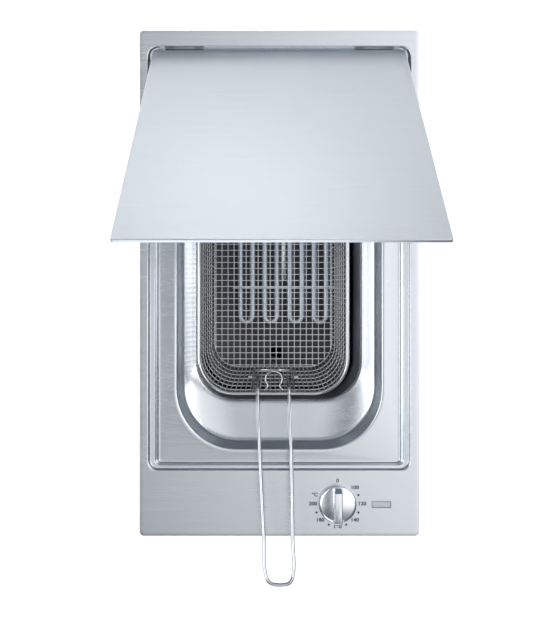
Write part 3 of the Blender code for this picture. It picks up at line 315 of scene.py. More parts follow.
def brushed(name, light, dark, roughness, turn=(0, 0, 0), centre=(0, 0, 0), line=0.6, cut=0.15):
    """Stainless steel brushed along X: fine lines, softer bands across them, and faint clouding."""
    steel = Finish(name, {"Metallic": 1.0})
    lines = steel.noise(steel.place((9, 2600, 2600), turn, centre), detail=3)
    bands = steel.noise(steel.place((2.5, 240, 240), turn, centre), detail=2)
    clouds = steel.noise(steel.place((11, 16, 16), turn, centre), detail=3)
    colour = steel.mix(lines * line + bands * (0.9 - line) + 0.05, dark, light)
    return steel.surface(
        colour=steel.mix(clouds * 0.35, colour, light),
        roughness=(lines - 0.5) * 0.12 + (bands - 0.5) * 0.05 + (clouds - 0.5) * 0.06 + roughness,
        height=(lines * 0.85 + bands * 0.15, 0.012 * MM, cut))


tray_low, tray_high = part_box("hob_tray")
TOP = tray_high.z
SHEET = 1 * MM
PANEL_DEPTH = 67.8 * MM
RECESS_EDGE = (9.2 * MM, 16.4 * MM)           # side and rear flange
RECESS_DEPTH = 10 * MM
SHELF_DEPTH = 18.4 * MM                       # below the recess floor
RECESS = (tray_high.x - RECESS_EDGE[0], tray_low.y + PANEL_DEPTH, tray_high.y - RECESS_EDGE[1])
WELL = (RECESS[0] - 28.5 * MM, RECESS[1] + 20.6 * MM, RECESS[2] - 46.5 * MM)
MOUTH = (WELL[0] - 20.7 * MM, WELL[1] + 50.1 * MM, WELL[2] - 43.8 * MM)
FLOOR_Z = TOP - RECESS_DEPTH
SHELF_Z = FLOOR_Z - SHELF_DEPTH
RIM_CORNER, RECESS_CORNER, WELL_CORNER, MOUTH_CORNER = 5 * MM, 10 * MM, 62 * MM, 40 * MM

# each station: inward from the outline at the sides, front and rear, then height, all in millimetres
edge = [(0, 0, 0, 0.5), (0, 0, 0, 3.0), (0.5, 0.5, 0.5, 4.0), (4, 4, 4, 4.0)]
recess = [(-1.6, -1.6, -1.6, 0), (-0.5, -0.5, -0.5, 0), (0.4, 0.4, 0.3, -0.6), (1.0, 1.0, 0.6, -2.0),
          (1.9, 1.8, 1.2, -3.0), (6.4, 4.9, 1.7, -3.0), (7.2, 5.4, 1.9, -3.8), (9.0, 6.4, 2.2, -8.6),
          (10.2, 7.3, 2.7, -10.0), (13.0, 9.0, 5.5, -10.0)]
well = [(-5.5, -5.0, -5.0, 0.4), (-1.4, -1.4, -1.4, 0.6), (0.4, 0.4, 0.4, 0.1), (1.3, 1.3, 1.3, -2.2),
        (5.0, 5.6, 5.6, -14.4), (6.2, 7.4, 7.4, -17.2), (9.4, 11.2, 11.2, -18.5)]
mouth = [(-4.2, -6.2, -6.2, -4.3), (-1.6, -2.2, -2.2, -5.1), (-0.3, -0.4, -0.4, -6.8), (0, 0, 0, -9.0)]


def outline_ring(outline, corner, station, base):
    side, front, rear, height = (value * MM for value in station)
    return ring(-outline[0] + side, outline[0] - side, outline[1] + front, outline[2] - rear,
                corner - side * 0.6, base + height)


tray_rings = []
for outline, corner, base, stations, radius in (
        ((tray_high.x, tray_low.y, tray_high.y), RIM_CORNER, 0, edge, 0.6),
        (RECESS, RECESS_CORNER, TOP, recess, 0.8),
        (WELL, WELL_CORNER, FLOOR_Z, well, 5.5),
        (MOUTH, MOUTH_CORNER, SHELF_Z, mouth, 1.6)):
    tray_rings += [outline_ring(outline, corner, station, base) for station in eased(stations, radius)]
BRUSH_LIGHT, BRUSH_DARK = (0.80, 0.83, 0.87, 1), (0.66, 0.69, 0.74, 1)
tray_steel = brushed("tray_steel", BRUSH_LIGHT, BRUSH_DARK, 0.25, cut=0.09)


def evaluated(thing):
    """The mesh of an object as its modifiers leave it; the object itself is removed."""
    bpy.context.view_layer.update()
    mesh = bpy.data.meshes.new_from_object(thing.evaluated_get(bpy.context.evaluated_depsgraph_get()))
    mesh.name = thing.name
    bpy.data.objects.remove(thing)
    return mesh


def carved(thing, *steps):
    """The mesh of an object after (operation, tool) steps; the object and its tools are removed."""
    for operation, tool in steps:
        step = thing.modifiers.new(tool.name, "BOOLEAN")
        step.operation, step.object = operation, tool
    mesh = evaluated(thing)
    for operation, tool in steps:
        bpy.data.objects.remove(tool)
    return mesh


def upright(name, centre, half, corner, low, high):
    """A rounded block between two heights."""
    rings = [ring(centre.x - half[0], centre.x + half[0], centre.y - half[1], centre.y + half[1],
                  corner, z, 8, 2) for z in (low, high)]
    return loft(name, rings, cap_first=True, cap_last=True)


lens_low, lens_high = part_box("indicator_lens")
LAMP = (lens_low + lens_high) / 2
LAMP_HALF = (lens_high - lens_low) / 2
KNOB = Vector(joints["knob_turn"]["pos_m"])
SHAFT_HOLE = 3.8 * MM
LAMP_GAP, LAMP_CORNER = 0.3 * MM, 0.8 * MM
sheet = linked("tray_sheet", loft("tray_sheet", tray_rings))
press = sheet.modifiers.new("thickness", "SOLIDIFY")
press.thickness = SHEET
press.offset = -1
punches = [("DIFFERENCE", linked(name, upright(name, centre, half, corner, TOP - 5 * MM, TOP + 5 * MM)))
           for name, centre, half, corner in (
               ("shaft_hole", KNOB, (SHAFT_HOLE, SHAFT_HOLE), SHAFT_HOLE),
               ("lamp_hole", LAMP, (LAMP_HALF.x + LAMP_GAP, LAMP_HALF.y + LAMP_GAP), LAMP_CORNER))]
made("tray_sheet", carved(sheet, *punches), "root", tray_steel, "tray_steel", ("hob_tray",))


# ---- foam seal ----
# A black foam strip under the rim, squeezed between the steel and the worktop.
def plain(name, light, dark, roughness, grain, depth, metallic=0.0, **constants):
    """A finish with fine grain, soft clouding of its colour, and roughness that follows both."""
    skin = Finish(name, {"Metallic": metallic} | {key.replace("_", " "): constants[key] for key in constants})
    fine = skin.noise(skin.place((grain,) * 3), detail=3)
    clouds = skin.noise(skin.place((grain / 30,) * 3), detail=3)
    return skin.surface(
        colour=skin.mix(clouds * 0.7 + fine * 0.3, dark, light),
        roughness=(fine - 0.5) * 0.12 + (clouds - 0.5) * 0.10 + roughness,
        height=(fine, depth, 0.5))


def refined(node, body, material, slot, bevel=0.3 * MM, sharp=35):
    """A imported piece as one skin, its coplanar faces joined and its hard edges broken by a small bevel."""
    form = bmesh.new()
    form.from_mesh(frame["nodes"][node].data)
    bmesh.ops.remove_doubles(form, verts=form.verts, dist=0.005 * MM)
    bmesh.ops.dissolve_limit(form, angle_limit=radians(0.6), verts=form.verts, edges=form.edges)
    thing = made(node + "_skin", mesh_from(form, node), body, material, slot, (node,), sharp)
    if bevel:
        broken = thing.modifiers.new("broken_edges", "BEVEL")
        broken.width = bevel
        broken.segments = 2
        broken.limit_method = "ANGLE"
        broken.angle_limit = radians(40)


foam = plain("foam_rubber", (0.045, 0.045, 0.05, 1), (0.02, 0.02, 0.022, 1), 0.85, 2600, 0.06 * MM)
refined("worktop_seal", "root", foam, "black_rubber", 0.4 * MM)


# ---- oil container ----
# Deep-drawn stainless steel, welded under the mouth, left satin inside with painted shade darkening it
# towards its floor; its floor drops to the drain.
def plan_middle(node, z=0.0):
    """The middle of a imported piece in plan, at a height."""
    low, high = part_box(node)
    return Vector(((low.x + high.x) / 2, (low.y + high.y) / 2, z))


pot_low, pot_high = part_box("oil_container")
DRAIN = plan_middle("drain_fitting", pot_low.z + SHEET)
POT_DEPTH = (pot_high.z - pot_low.z) / MM - 1
pot = [(-7, -7, -7, 0), (-1.2, -1.2, -1.2, 0), (0.1, 0.1, 0.1, -3.3), (2.4, 2.4, 2.4, 8 - POT_DEPTH),
       (5.0, 5.0, 5.0, 2 - POT_DEPTH), (12, 12, 12, -POT_DEPTH)]
pot_rings = [outline_ring(MOUTH, MOUTH_CORNER, station, pot_high.z) for station in eased(pot, 3.0)]
satin = brushed("satin_steel", (0.68, 0.71, 0.75, 1), (0.56, 0.59, 0.63, 1), 0.30)
# painted shade: the pot's inside is painted near black low down and fades to plain satin steel higher up,
# standing in for the shade deep in the pot
pot_shade_finish = Finish("varnished_steel", {"Metallic": 1.0})
pot_clouds = pot_shade_finish.noise(pot_shade_finish.place((30, 30, 30)), detail=3)
grain = pot_shade_finish.noise(pot_shade_finish.place((700, 700, 700)), detail=2)
height = pot_shade_finish.node("ShaderNodeSeparateXYZ", {}, {
    0: pot_shade_finish.place((1, 1, 1), centre=(0, 0, pot_low.z))}, output="Z")
PAINTED_SHADE_TOP, UNSHADED_ABOVE = 30 * MM, 55 * MM   # painted shade: near black below the first height, plain steel above the second
unshaded_share = pot_shade_finish.node("ShaderNodeMapRange", {"interpolation_type": "SMOOTHSTEP"}, {
    "Value": height + pot_clouds * 0.01, "From Min": PAINTED_SHADE_TOP, "From Max": UNSHADED_ABOVE})
container_steel = pot_shade_finish.surface(
    colour=pot_shade_finish.mix(unshaded_share, pot_shade_finish.mix(pot_clouds, (0.035, 0.037, 0.042, 1), (0.10, 0.105, 0.12, 1)),
                         pot_shade_finish.mix(pot_clouds, (0.40, 0.42, 0.46, 1), (0.58, 0.60, 0.64, 1))),
    roughness=grain * 0.10 + pot_clouds * 0.14 + 0.20,
    height=(grain, 0.02 * MM, 0.3))
DRAIN_RING, DRAIN_LIP = 11.5 * MM, 0.6 * MM
drain_edge = []
for point in pot_rings[-1]:
    bearing = atan2(point.y - DRAIN.y, point.x - DRAIN.x)
    drain_edge.append(DRAIN + DRAIN_RING * Vector((cos(bearing), sin(bearing), 0)))
pot_rings.append([point.lerp(edge_point, 0.85) for point, edge_point in zip(pot_rings[-1], drain_edge)])
pot_rings += [drain_edge, [point - Vector((0, 0, DRAIN_LIP)) for point in drain_edge]]
made("container_shell", loft("container_shell", pot_rings), "root", container_steel, "satin_steel",
     ("oil_container",))
refined("drain_fitting", "root", container_steel, "satin_steel", 0.4 * MM)


# ---- drain: elbow, ball valve, spout ----
# Cast and machined brass under the container, joined with unions; a red dipped lever opens the ball.
def smooth(points, closed=False, parts=6):
    """A smooth curve through points, evenly divided between them."""
    points = [Vector(point) for point in points]
    count = len(points)
    if not closed:
        points = [points[0] * 2 - points[1], *points, points[-1] * 2 - points[-2]]
        spans = [points[n:n + 4] for n in range(count - 1)]
    else:
        spans = [[points[(n + k) % count] for k in (-1, 0, 1, 2)] for n in range(count)]
    path = []
    for before, first, last, after in spans:
        length = (last - first).length
        lead, trail = (first - before).length, (after - last).length
        leave = ((first - before) * length / lead + (last - first) * lead / length) / (lead + length) * length
        arrive = ((last - first) * trail / length + (after - last) * length / trail) / (length + trail)
        arrive *= length
        for n in range(parts):
            t = n / parts
            path.append(first * (2 * t ** 3 - 3 * t ** 2 + 1) + leave * (t ** 3 - 2 * t ** 2 + t)
                        + last * (3 * t ** 2 - 2 * t ** 3) + arrive * (t ** 3 - t ** 2))
    return path if closed else path + [points[-2]]


def arc(centre, radius, first, last, steps, plane):
    """Points on an arc in the plane of two unit vectors, first and last in degrees."""
    u, v = (Vector(axis) for axis in plane)
    angles = [radians(first + (last - first) * n / steps) for n in range(steps + 1)]
    return [Vector(centre) + radius * (cos(angle) * u + sin(angle) * v) for angle in angles]


def socket(group, name, kind, in_out="INPUT"):
    return group.interface.new_socket(name, in_out=in_out, socket_type="NodeSocket" + kind)


def tree_for(name, *sizes):
    """A geometry tree with a Geometry input, named sizes and a Material; gives it and its input node."""
    group = bpy.data.node_groups.new(name, "GeometryNodeTree")
    socket(group, "Geometry", "Geometry")
    for size, kind in sizes:
        socket(group, size, kind)
    socket(group, "Material", "Material")
    socket(group, "Geometry", "Geometry", "OUTPUT")
    steps = Nodes(group)
    start = group.nodes.new("NodeGroupInput")
    return steps, {item.name: Value(steps, item) for item in start.outputs if item.name}


def finish_tree(steps, geometry, material):
    """Shades smooth, makes instances real, sets the material and ends the tree."""
    smooth_shape = steps.node("GeometryNodeSetShadeSmooth", {}, {"Geometry": geometry})
    real = steps.node("GeometryNodeRealizeInstances", {}, {"Geometry": smooth_shape})
    coloured = steps.node("GeometryNodeSetMaterial", {}, {"Geometry": real, "Material": material})
    steps.node("NodeGroupOutput", {}, {"Geometry": coloured})
    return steps.tree


def grown(name, group, source, body, material, slot, replaced=(), sharp=40, **sizes):
    """Runs a geometry tree on curves or a mesh and keeps the result as a finished piece."""
    seed = linked(name, source)
    growth = seed.modifiers.new(group.name, "NODES")
    growth.node_group = group
    values = {key.replace("_", " "): value for key, value in sizes.items()}
    values["Material"] = material
    for item in group.interface.items_tree:
        if item.item_type == "SOCKET" and item.in_out == "INPUT" and item.name in values:
            growth[item.identifier] = values[item.name]
    return made(name, evaluated(seed), body, material, slot, replaced, sharp)


def curves_from(name, paths, closed=False):
    """Several paths as the splines of one curve."""
    curve = bpy.data.curves.new(name, "CURVE")
    curve.dimensions = "3D"
    for path in paths:
        spline = curve.splines.new("POLY")
        spline.points.add(len(path) - 1)
        spline.points.foreach_set("co", [value for point in path for value in (*point, 1)])
        spline.use_cyclic_u = closed
    return curve


steps, start = tree_for("drawn_round", ("Radius", "Float"), ("Sides", "Int"), ("Ends", "Bool"))
profile = steps.node("GeometryNodeCurvePrimitiveCircle", {}, {
    "Resolution": start["Sides"], "Radius": start["Radius"]})
drawn = steps.node("GeometryNodeCurveToMesh", {}, {
    "Curve": start["Geometry"], "Profile Curve": profile, "Fill Caps": start["Ends"]})
DRAWN_ROUND = finish_tree(steps, drawn, start["Material"])


def wire(name, paths, radius, body, material, slot, replaced=(), sides=16, closed=False):
    """Round wire, rod or tube drawn along one or more paths."""
    return grown(name, DRAWN_ROUND, curves_from(name, paths, closed), body, material, slot, replaced,
                 Radius=radius, Sides=sides, Ends=not closed)


def turned(name, centre, stations, axis=(0, 0, 1), sides=40):
    """A turned solid through (radius, height) stations: a ring unless both ends lie on the axis."""
    solid = stations[0][0] == 0 and stations[-1][0] == 0
    rows = stations[1:-1] if solid else stations
    rings = [[Vector((radius * cos(2 * pi * n / sides), radius * sin(2 * pi * n / sides), height))
              for n in range(sides)] for radius, height in rows]
    mesh = loft(name, rings, cap_first=solid, cap_last=solid, loop=not solid)
    mesh.transform(Matrix.Translation(centre) @ Vector(axis).to_track_quat("Z", "Y").to_matrix().to_4x4())
    return mesh


def together(name, meshes):
    """Several closed meshes as one mesh."""
    form = bmesh.new()
    for mesh in meshes:
        form.from_mesh(mesh)
    return mesh_from(form, name)


cast_brass = plain("cast_brass", (0.78, 0.63, 0.34, 1), (0.62, 0.48, 0.24, 1), 0.38, 1400, 0.05 * MM, 1.0)
nickel = plain("bright_nickel", (0.80, 0.81, 0.80, 1), (0.68, 0.69, 0.69, 1), 0.18, 900, 0.01 * MM, 1.0)
PIPE_RADIUS, PIPE_BORE = 9 * MM, 7 * MM
elbow_low, elbow_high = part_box("drain_elbow")
valve_low, valve_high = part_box("valve_body")
spout_low, spout_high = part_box("drain_spout")
pipe_z = (valve_low.z + valve_high.z) / 2
BEND, SPOUT_BEND = 16 * MM, 12 * MM
FLAT, UPRIGHT = ((1, 0, 0), (0, 1, 0)), ((0, 1, 0), (0, 0, 1))    # the planes that pipes are bent in


def pipe(name, path, outer, bore, replaced, material):
    """A bored pipe: the drawn skin given its wall."""
    skin = grown(name + "_path", DRAWN_ROUND, curves_from(name, [path]), "root", material, "brass",
                 Radius=outer, Sides=28, Ends=False)
    seed = linked(name, skin.data)
    bpy.data.objects.remove(skin)
    wall = seed.modifiers.new("wall", "SOLIDIFY")
    wall.thickness = outer - bore
    wall.offset = -1
    return made(name, evaluated(seed), "root", material, "brass", replaced)


elbow_path = [(DRAIN.x, DRAIN.y, elbow_high.z)] + arc(
    (DRAIN.x, DRAIN.y - BEND, pipe_z + BEND), BEND, 0, -90, 14, UPRIGHT)
elbow_path.append((DRAIN.x, elbow_low.y, pipe_z))
pipe("elbow_pipe", elbow_path, PIPE_RADIUS, PIPE_BORE, ("drain_elbow",), cast_brass)
spout_path = [(DRAIN.x, spout_high.y, pipe_z)] + arc(
    (DRAIN.x, spout_high.y - 4 * MM, pipe_z - SPOUT_BEND), SPOUT_BEND, 90, 180, 12, UPRIGHT)
spout_path.append((DRAIN.x, spout_high.y - 4 * MM - SPOUT_BEND, spout_low.z))
pipe("spout_pipe", spout_path, PIPE_RADIUS - 1 * MM, PIPE_BORE - 1 * MM, ("drain_spout",), cast_brass)
refined("valve_body", "root", cast_brass, "brass", 1.0 * MM)
refined("valve_ball", "valve", nickel, "bright_chrome", 0)
stem_low, stem_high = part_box("valve_stem")
STEM_RADIUS = 3 * MM
zinc_bright = plain("zinc_plated", (0.72, 0.73, 0.74, 1), (0.58, 0.60, 0.61, 1), 0.30, 1600, 0.02 * MM, 1.0)
made("stem_rod", turned("stem_rod", plan_middle("valve_stem"), [
    (0, stem_low.z), (STEM_RADIUS, stem_low.z), (STEM_RADIUS, stem_high.z - 0.6 * MM),
    (STEM_RADIUS - 0.5 * MM, stem_high.z), (0, stem_high.z)],
    sides=24), "valve", zinc_bright, "zinc_steel", ("valve_stem",))
dipped = plain("red_dip", (0.62, 0.05, 0.04, 1), (0.48, 0.03, 0.03, 1), 0.32, 500, 0.05 * MM, Coat_Weight=0.5)
refined("valve_lever", "valve", dipped, "red_plastic", 0.8 * MM)


# ---- casing and base ----
# Galvanised sheet folded to a box round the container; slots let the heat out, pop rivets close the
# corner seams, and the base tray with its vents is riveted in from below.
zinc = Finish("galvanised_sheet", {"Metallic": 1.0})
grains = zinc.node("ShaderNodeTexVoronoi", {"feature": "F1"}, {"Vector": zinc.place(), "Scale": 130.0},
                   output="Color")
tone = zinc.node("ShaderNodeSeparateColor", {}, {0: grains}, output=0)
fine = zinc.noise(zinc.place((900, 900, 900)), detail=2)
spangle = zinc.surface(
    colour=zinc.mix(tone * 0.8 + fine * 0.2, (0.50, 0.52, 0.54, 1), (0.66, 0.68, 0.70, 1)),
    roughness=tone * 0.14 + fine * 0.08 + 0.32,
    height=(tone * 0.5 + fine * 0.5, 0.02 * MM, 0.4))
for folded in ("casing_shell", "casing_base", "control_box"):
    refined(folded, "root", spangle, "zinc_steel", 0.25 * MM)

steps, start = tree_for("fastener_heads", ("Radius", "Float"), ("Rise", "Float"))
facing = steps.node("GeometryNodeInputNamedAttribute", {"data_type": "FLOAT_VECTOR"}, {"Name": "facing"})
turn = steps.node("FunctionNodeAlignRotationToVector", {"axis": "Z"}, {"Vector": facing})
dome = steps.node("GeometryNodeMeshUVSphere", {}, {"Segments": 14, "Rings": 7, "Radius": start["Radius"]})
squat = steps.node("ShaderNodeCombineXYZ", {}, {"X": 1.0, "Y": 1.0, "Z": start["Rise"]})
heads = steps.node("GeometryNodeInstanceOnPoints", {}, {
    "Points": start["Geometry"], "Instance": dome, "Rotation": turn, "Scale": squat})
FASTENER_HEADS = finish_tree(steps, heads, start["Material"])


def heads_at(name, places, radius, rise, body, material, slot):
    """Domed rivet heads at (point, outward direction) places; rise is the dome's height over its radius."""
    mesh = bpy.data.meshes.new(name)
    mesh.from_pydata([place for place, outward in places], [], [])
    outwards = mesh.attributes.new("facing", "FLOAT_VECTOR", "POINT")
    outwards.data.foreach_set("vector", [value for place, outward in places for value in outward])
    return grown(name, FASTENER_HEADS, mesh, body, material, slot, Radius=radius, Rise=rise)


shell_low, shell_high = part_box("casing_shell")
RIVET_INSET, BASE_INSET = 9 * MM, 14 * MM
CORNER_RIVETS, END_RIVETS = 5, 6
corner_step = (shell_high.z - shell_low.z - 34 * MM) / (CORNER_RIVETS - 1)
places = [((shell_high.x * side, y, shell_low.z + 14 * MM + n * corner_step), (side, 0, 0))
          for side in (-1, 1) for y in (shell_low.y + RIVET_INSET, shell_high.y - RIVET_INSET)
          for n in range(CORNER_RIVETS)]
places += [(((n - 2.5) / 2.5 * (shell_high.x - 2 * RIVET_INSET), wall, shell_low.z + 6 * MM), (0, out, 0))
           for wall, out in ((shell_low.y, -1), (shell_high.y, 1)) for n in range(END_RIVETS)]
heads_at("casing_rivets", places, 2.2 * MM, 0.45, "root", zinc_bright, "zinc_steel")
base_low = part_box("casing_base")[0]
places = [((x * (shell_high.x - BASE_INSET), y, base_low.z + 0.4 * MM), (0, 0, -1))
          for x in (-1, 1) for y in (shell_low.y + BASE_INSET, 0.0, shell_high.y - BASE_INSET)]
heads_at("base_rivets", places, 2.4 * MM, 0.4, "root", zinc_bright, "zinc_steel")


# ---- wiring, thermostat, thermal cut-out, mains connection ----
# Bought-in parts: a moulded bushing for the wires, steatite switch bodies, a push button to reset the
# thermal cut-out, and a terminal block under a black moulded cover with its cable gland.
rubber = plain("moulded_rubber", (0.05, 0.05, 0.052, 1), (0.025, 0.025, 0.027, 1), 0.6, 1500, 0.02 * MM)
steatite = plain("steatite", (0.87, 0.84, 0.77, 1), (0.76, 0.73, 0.66, 1), 0.62, 1100, 0.04 * MM)
moulded_black = plain("moulded_black", (0.045, 0.045, 0.05, 1), (0.028, 0.028, 0.03, 1), 0.48, 2200,
                      0.03 * MM)
for part, material, slot, bevel in (
        ("wiring_grommet", rubber, "black_rubber", 0.4), ("thermostat_body", steatite, "ceramic", 0.5),
        ("thermal_cutout", steatite, "ceramic", 0.4), ("terminal_block", steatite, "ceramic", 0.5),
        ("terminal_cover", moulded_black, "black_plastic", 0.8),
        ("lamp_housing", moulded_black, "black_plastic", 0.5)):
    refined(part, "root", material, slot, bevel * MM)
gland_low, gland_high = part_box("cable_gland")
gland_middle = plan_middle("cable_gland", gland_high.z)
GLAND_RADIUS, CABLE_HOLE = (gland_high.x - gland_low.x) / 2, 4 * MM
made("gland_nut", turned("gland_nut", gland_middle, [
    (GLAND_RADIUS - 0.8 * MM, 0), (GLAND_RADIUS - 0.8 * MM, -2.8 * MM), (GLAND_RADIUS - 0.2 * MM, -3 * MM),
    (GLAND_RADIUS, -3.4 * MM), (GLAND_RADIUS, -8.6 * MM), (GLAND_RADIUS - 0.5 * MM, -9.4 * MM),
    (5.9 * MM, -13.4 * MM), (5.3 * MM, -14 * MM), (CABLE_HOLE + 0.3 * MM, -14 * MM),
    (CABLE_HOLE, -13.6 * MM), (CABLE_HOLE, 0)]),
    "root", moulded_black, "black_plastic", ("cable_gland",))
RIBS = 18
places = [Vector((cos(2 * pi * n / RIBS), sin(2 * pi * n / RIBS), 0)) for n in range(RIBS)]
wire("gland_ribs", [[gland_middle + out * (GLAND_RADIUS - 0.1 * MM) - Vector((0, 0, depth))
                     for depth in (3.8 * MM, 8.4 * MM)] for out in places],
     0.45 * MM, "root", moulded_black, "black_plastic", sides=8)
button_low, button_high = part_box("reset_button")
BUTTON_RADIUS = 3 * MM
made("button_cap", turned("button_cap", plan_middle("reset_button"), [
    (0, button_low.z), (BUTTON_RADIUS - 1 * MM, button_low.z), (2.6 * MM, button_low.z + 0.2 * MM),
    (BUTTON_RADIUS, button_low.z + 0.8 * MM), (BUTTON_RADIUS, button_high.z), (0, button_high.z)],
    sides=32), "button", dipped, "red_plastic", ("reset_button",))
COVER_INSET = 7 * MM
cover_low, cover_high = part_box("terminal_cover")
places = [((x, cover_high.y, z), (0, 1, 0)) for x in (cover_low.x + COVER_INSET, cover_high.x - COVER_INSET)
          for z in (cover_low.z + COVER_INSET, cover_high.z - COVER_INSET)]
heads_at("cover_screws", places, 2.6 * MM, 0.5, "root", zinc_bright, "zinc_steel")


# ---- worktop clamps ----
# Sprung zinc claws on the casing's sides; a slotted screw draws each one up against the worktop.
SHANK, HEAD, HEAD_HEIGHT = 2 * MM, 4.4 * MM, 2.7 * MM
SLOT_DEPTH, SLOT_HALF = 1.1 * MM, 0.5 * MM
for number in range(1, 5):
    screw = f"clamp_screw_{number}"
    refined(f"clamp_claw_{number}", "root", zinc_bright, "zinc_steel", 0.3 * MM)
    screw_low, screw_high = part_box(screw)
    side = -1 if screw_low.x < 0 else 1
    middle = (screw_low + screw_high) / 2
    in_x, out_x = (screw_high.x, screw_low.x) if side < 0 else (screw_low.x, screw_high.x)
    length = abs(out_x - in_x)
    body = linked(screw + "_slotted", turned("screw", Vector((in_x, middle.y, middle.z)), [
        (0, 0), (SHANK - 0.3 * MM, 0), (SHANK, 0.5 * MM), (SHANK, length - HEAD_HEIGHT),
        (HEAD, length - HEAD_HEIGHT), (HEAD, length - 1.2 * MM), (3.6 * MM, length - 0.3 * MM),
        (2 * MM, length), (0, length)], (side, 0, 0), 24))
    slot = linked("screw_slot", upright("screw_slot", Vector((out_x, middle.y, 0)), (SLOT_DEPTH, 6 * MM),
                                        0.1 * MM, middle.z - SLOT_HALF, middle.z + SLOT_HALF))
    made(screw + "_slotted", carved(body, ("DIFFERENCE", slot)), "root", zinc_bright, "zinc_steel", (screw,))


# ---- lid hinges ----
# Bright steel: a bracket and its pin fixed in the recess, a leaf screwed under the lid.
hinge_steel = plain("hinge_steel", (0.80, 0.82, 0.85, 1), (0.66, 0.69, 0.73, 1), 0.20, 1500, 0.01 * MM, 1.0)
PIN_RADIUS = 1.2 * MM
for side in ("left", "right"):
    refined(f"hinge_bracket_{side}", "root", hinge_steel, "bright_chrome", 0.25 * MM)
    refined(f"hinge_leaf_{side}", "lid", hinge_steel, "bright_chrome", 0.25 * MM)
    pin_low, pin_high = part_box(f"hinge_pin_{side}")
    middle = (pin_low + pin_high) / 2
    reach = (pin_high.x - pin_low.x) / 2
    made(f"hinge_pin_{side}_turned", turned(f"hinge_pin_{side}", middle, [
        (0, -reach), (0.9 * MM, -reach), (PIN_RADIUS, 0.4 * MM - reach), (PIN_RADIUS, reach - 0.4 * MM),
        (0.9 * MM, reach), (0, reach)], (1, 0, 0), 20), "root", hinge_steel, "bright_chrome",
         (f"hinge_pin_{side}",))
    bracket_low, bracket_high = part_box(f"hinge_bracket_{side}")
    places = [((x, bracket_low.y + 6 * MM, FLOOR_Z + 1.4 * MM), (0, 0, 1))
              for x in (bracket_low.x + 8 * MM, bracket_high.x - 8 * MM)]
    heads_at(f"hinge_screws_{side}", places, 2.3 * MM, 0.45, "root", hinge_steel, "bright_chrome")


# ---- lid ----
# A brushed sheet with its edges hemmed over a plain liner; it swings on the two leaves.
AXIS = Vector(joints["lid_hinge"]["pos_m"])
lid_low, lid_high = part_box("lid_panel")
LID_OPEN = atan2(lid_high.z - AXIS.z, AXIS.y - lid_low.y)
lid_steel = brushed("lid_steel", (0.72, 0.755, 0.795, 1), (0.59, 0.625, 0.67, 1), 0.30,
                    (LID_OPEN, 0, 0), AXIS)
liner_steel = brushed("liner_steel", (0.50, 0.53, 0.57, 1), (0.40, 0.43, 0.47, 1), 0.34,
                      (LID_OPEN, 0, 0), AXIS)
for layer, material, slot in (("panel", lid_steel, "lid_steel"), ("liner", liner_steel, "satin_steel")):
    refined(f"lid_{layer}", "lid", material, slot, 0.25 * MM)


# ---- heating element ----
# Two tubular heaters, each bent into four lengths, brazed into a barrel that turns on two brackets;
# two braces space the tubes and carry the basket, and the thermostat's bulb lies along them.
tube_low, tube_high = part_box("heating_tube_left")
right_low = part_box("heating_tube_right")[0]
barrel_low, barrel_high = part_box("element_barrel")
TUBE_RADIUS = 3.45 * MM
TUBE_PITCH = (tube_high.x - tube_low.x - 2 * TUBE_RADIUS) / 3
tube_z = tube_low.z + TUBE_RADIUS
BARREL = (barrel_low + barrel_high) / 2
BARREL_RADIUS = (barrel_high.z - barrel_low.z) / 2
RISER_BEND = 12 * MM
riser_y = MOUTH[2] - 12 * MM
front_bend_y = tube_low.y + TUBE_RADIUS + TUBE_PITCH / 2
rear_bend_y = riser_y - RISER_BEND - 3 * MM
entry_z = BARREL.z - 2 * MM


def riser(x, foot_z):
    """Up the container's rear wall, over the mouth and back to the barrel."""
    low = arc((x, riser_y - RISER_BEND, foot_z + RISER_BEND), RISER_BEND, -90, 0, 10, UPRIGHT)
    high = arc((x, riser_y + RISER_BEND, entry_z - RISER_BEND), RISER_BEND, 180, 90, 10, UPRIGHT)
    return low + high + [Vector((x, BARREL.y - BARREL_RADIUS + 0.5 * MM, entry_z))]


def tube_path(first):
    """Down one riser, forward and back along the four lengths, and up the last one."""
    path = list(reversed(riser(first, tube_z)))
    for n, bend_y, last in ((0, front_bend_y, 360), (1, rear_bend_y, 0), (2, front_bend_y, 360)):
        path += arc((first + (n + 0.5) * TUBE_PITCH, bend_y, tube_z), TUBE_PITCH / 2, 180, last, 16, FLAT)
    return path + riser(first + 3 * TUBE_PITCH, tube_z)


heater = Finish("heater_steel", {"Metallic": 1.0})
oxide = heater.noise(heater.place((60, 25, 60)), detail=3)
mottle = heater.noise(heater.place((900, 500, 900)), detail=2)
heater_steel = heater.surface(
    colour=heater.mix(oxide, (0.64, 0.73, 0.87, 1), (0.84, 0.89, 0.97, 1)),
    roughness=mottle * 0.14 + oxide * 0.10 + 0.32,
    height=(mottle, 0.02 * MM, 0.4))
for side, low in (("left", tube_low), ("right", right_low)):
    wire(f"heater_{side}", [tube_path(low.x + TUBE_RADIUS)], TUBE_RADIUS, "element", heater_steel,
         "element_tube", (f"heating_tube_{side}",), sides=18)
reach = (barrel_high.x - barrel_low.x) / 2
TRUNNION, TRUNNION_LENGTH, CHAMFER = 4 * MM, 10 * MM, 0.8 * MM
shoulder = reach - TRUNNION_LENGTH
half_barrel = [(TRUNNION - 0.5 * MM, reach), (TRUNNION, reach - 0.5 * MM), (TRUNNION, shoulder),
               (BARREL_RADIUS - CHAMFER, shoulder), (BARREL_RADIUS, shoulder - CHAMFER)]
made("barrel_turned", turned("barrel_turned", BARREL, [
    (0, -reach), *((radius, -along) for radius, along in half_barrel), *reversed(half_barrel), (0, reach)],
    (1, 0, 0)), "element", satin, "satin_steel", ("element_barrel",))
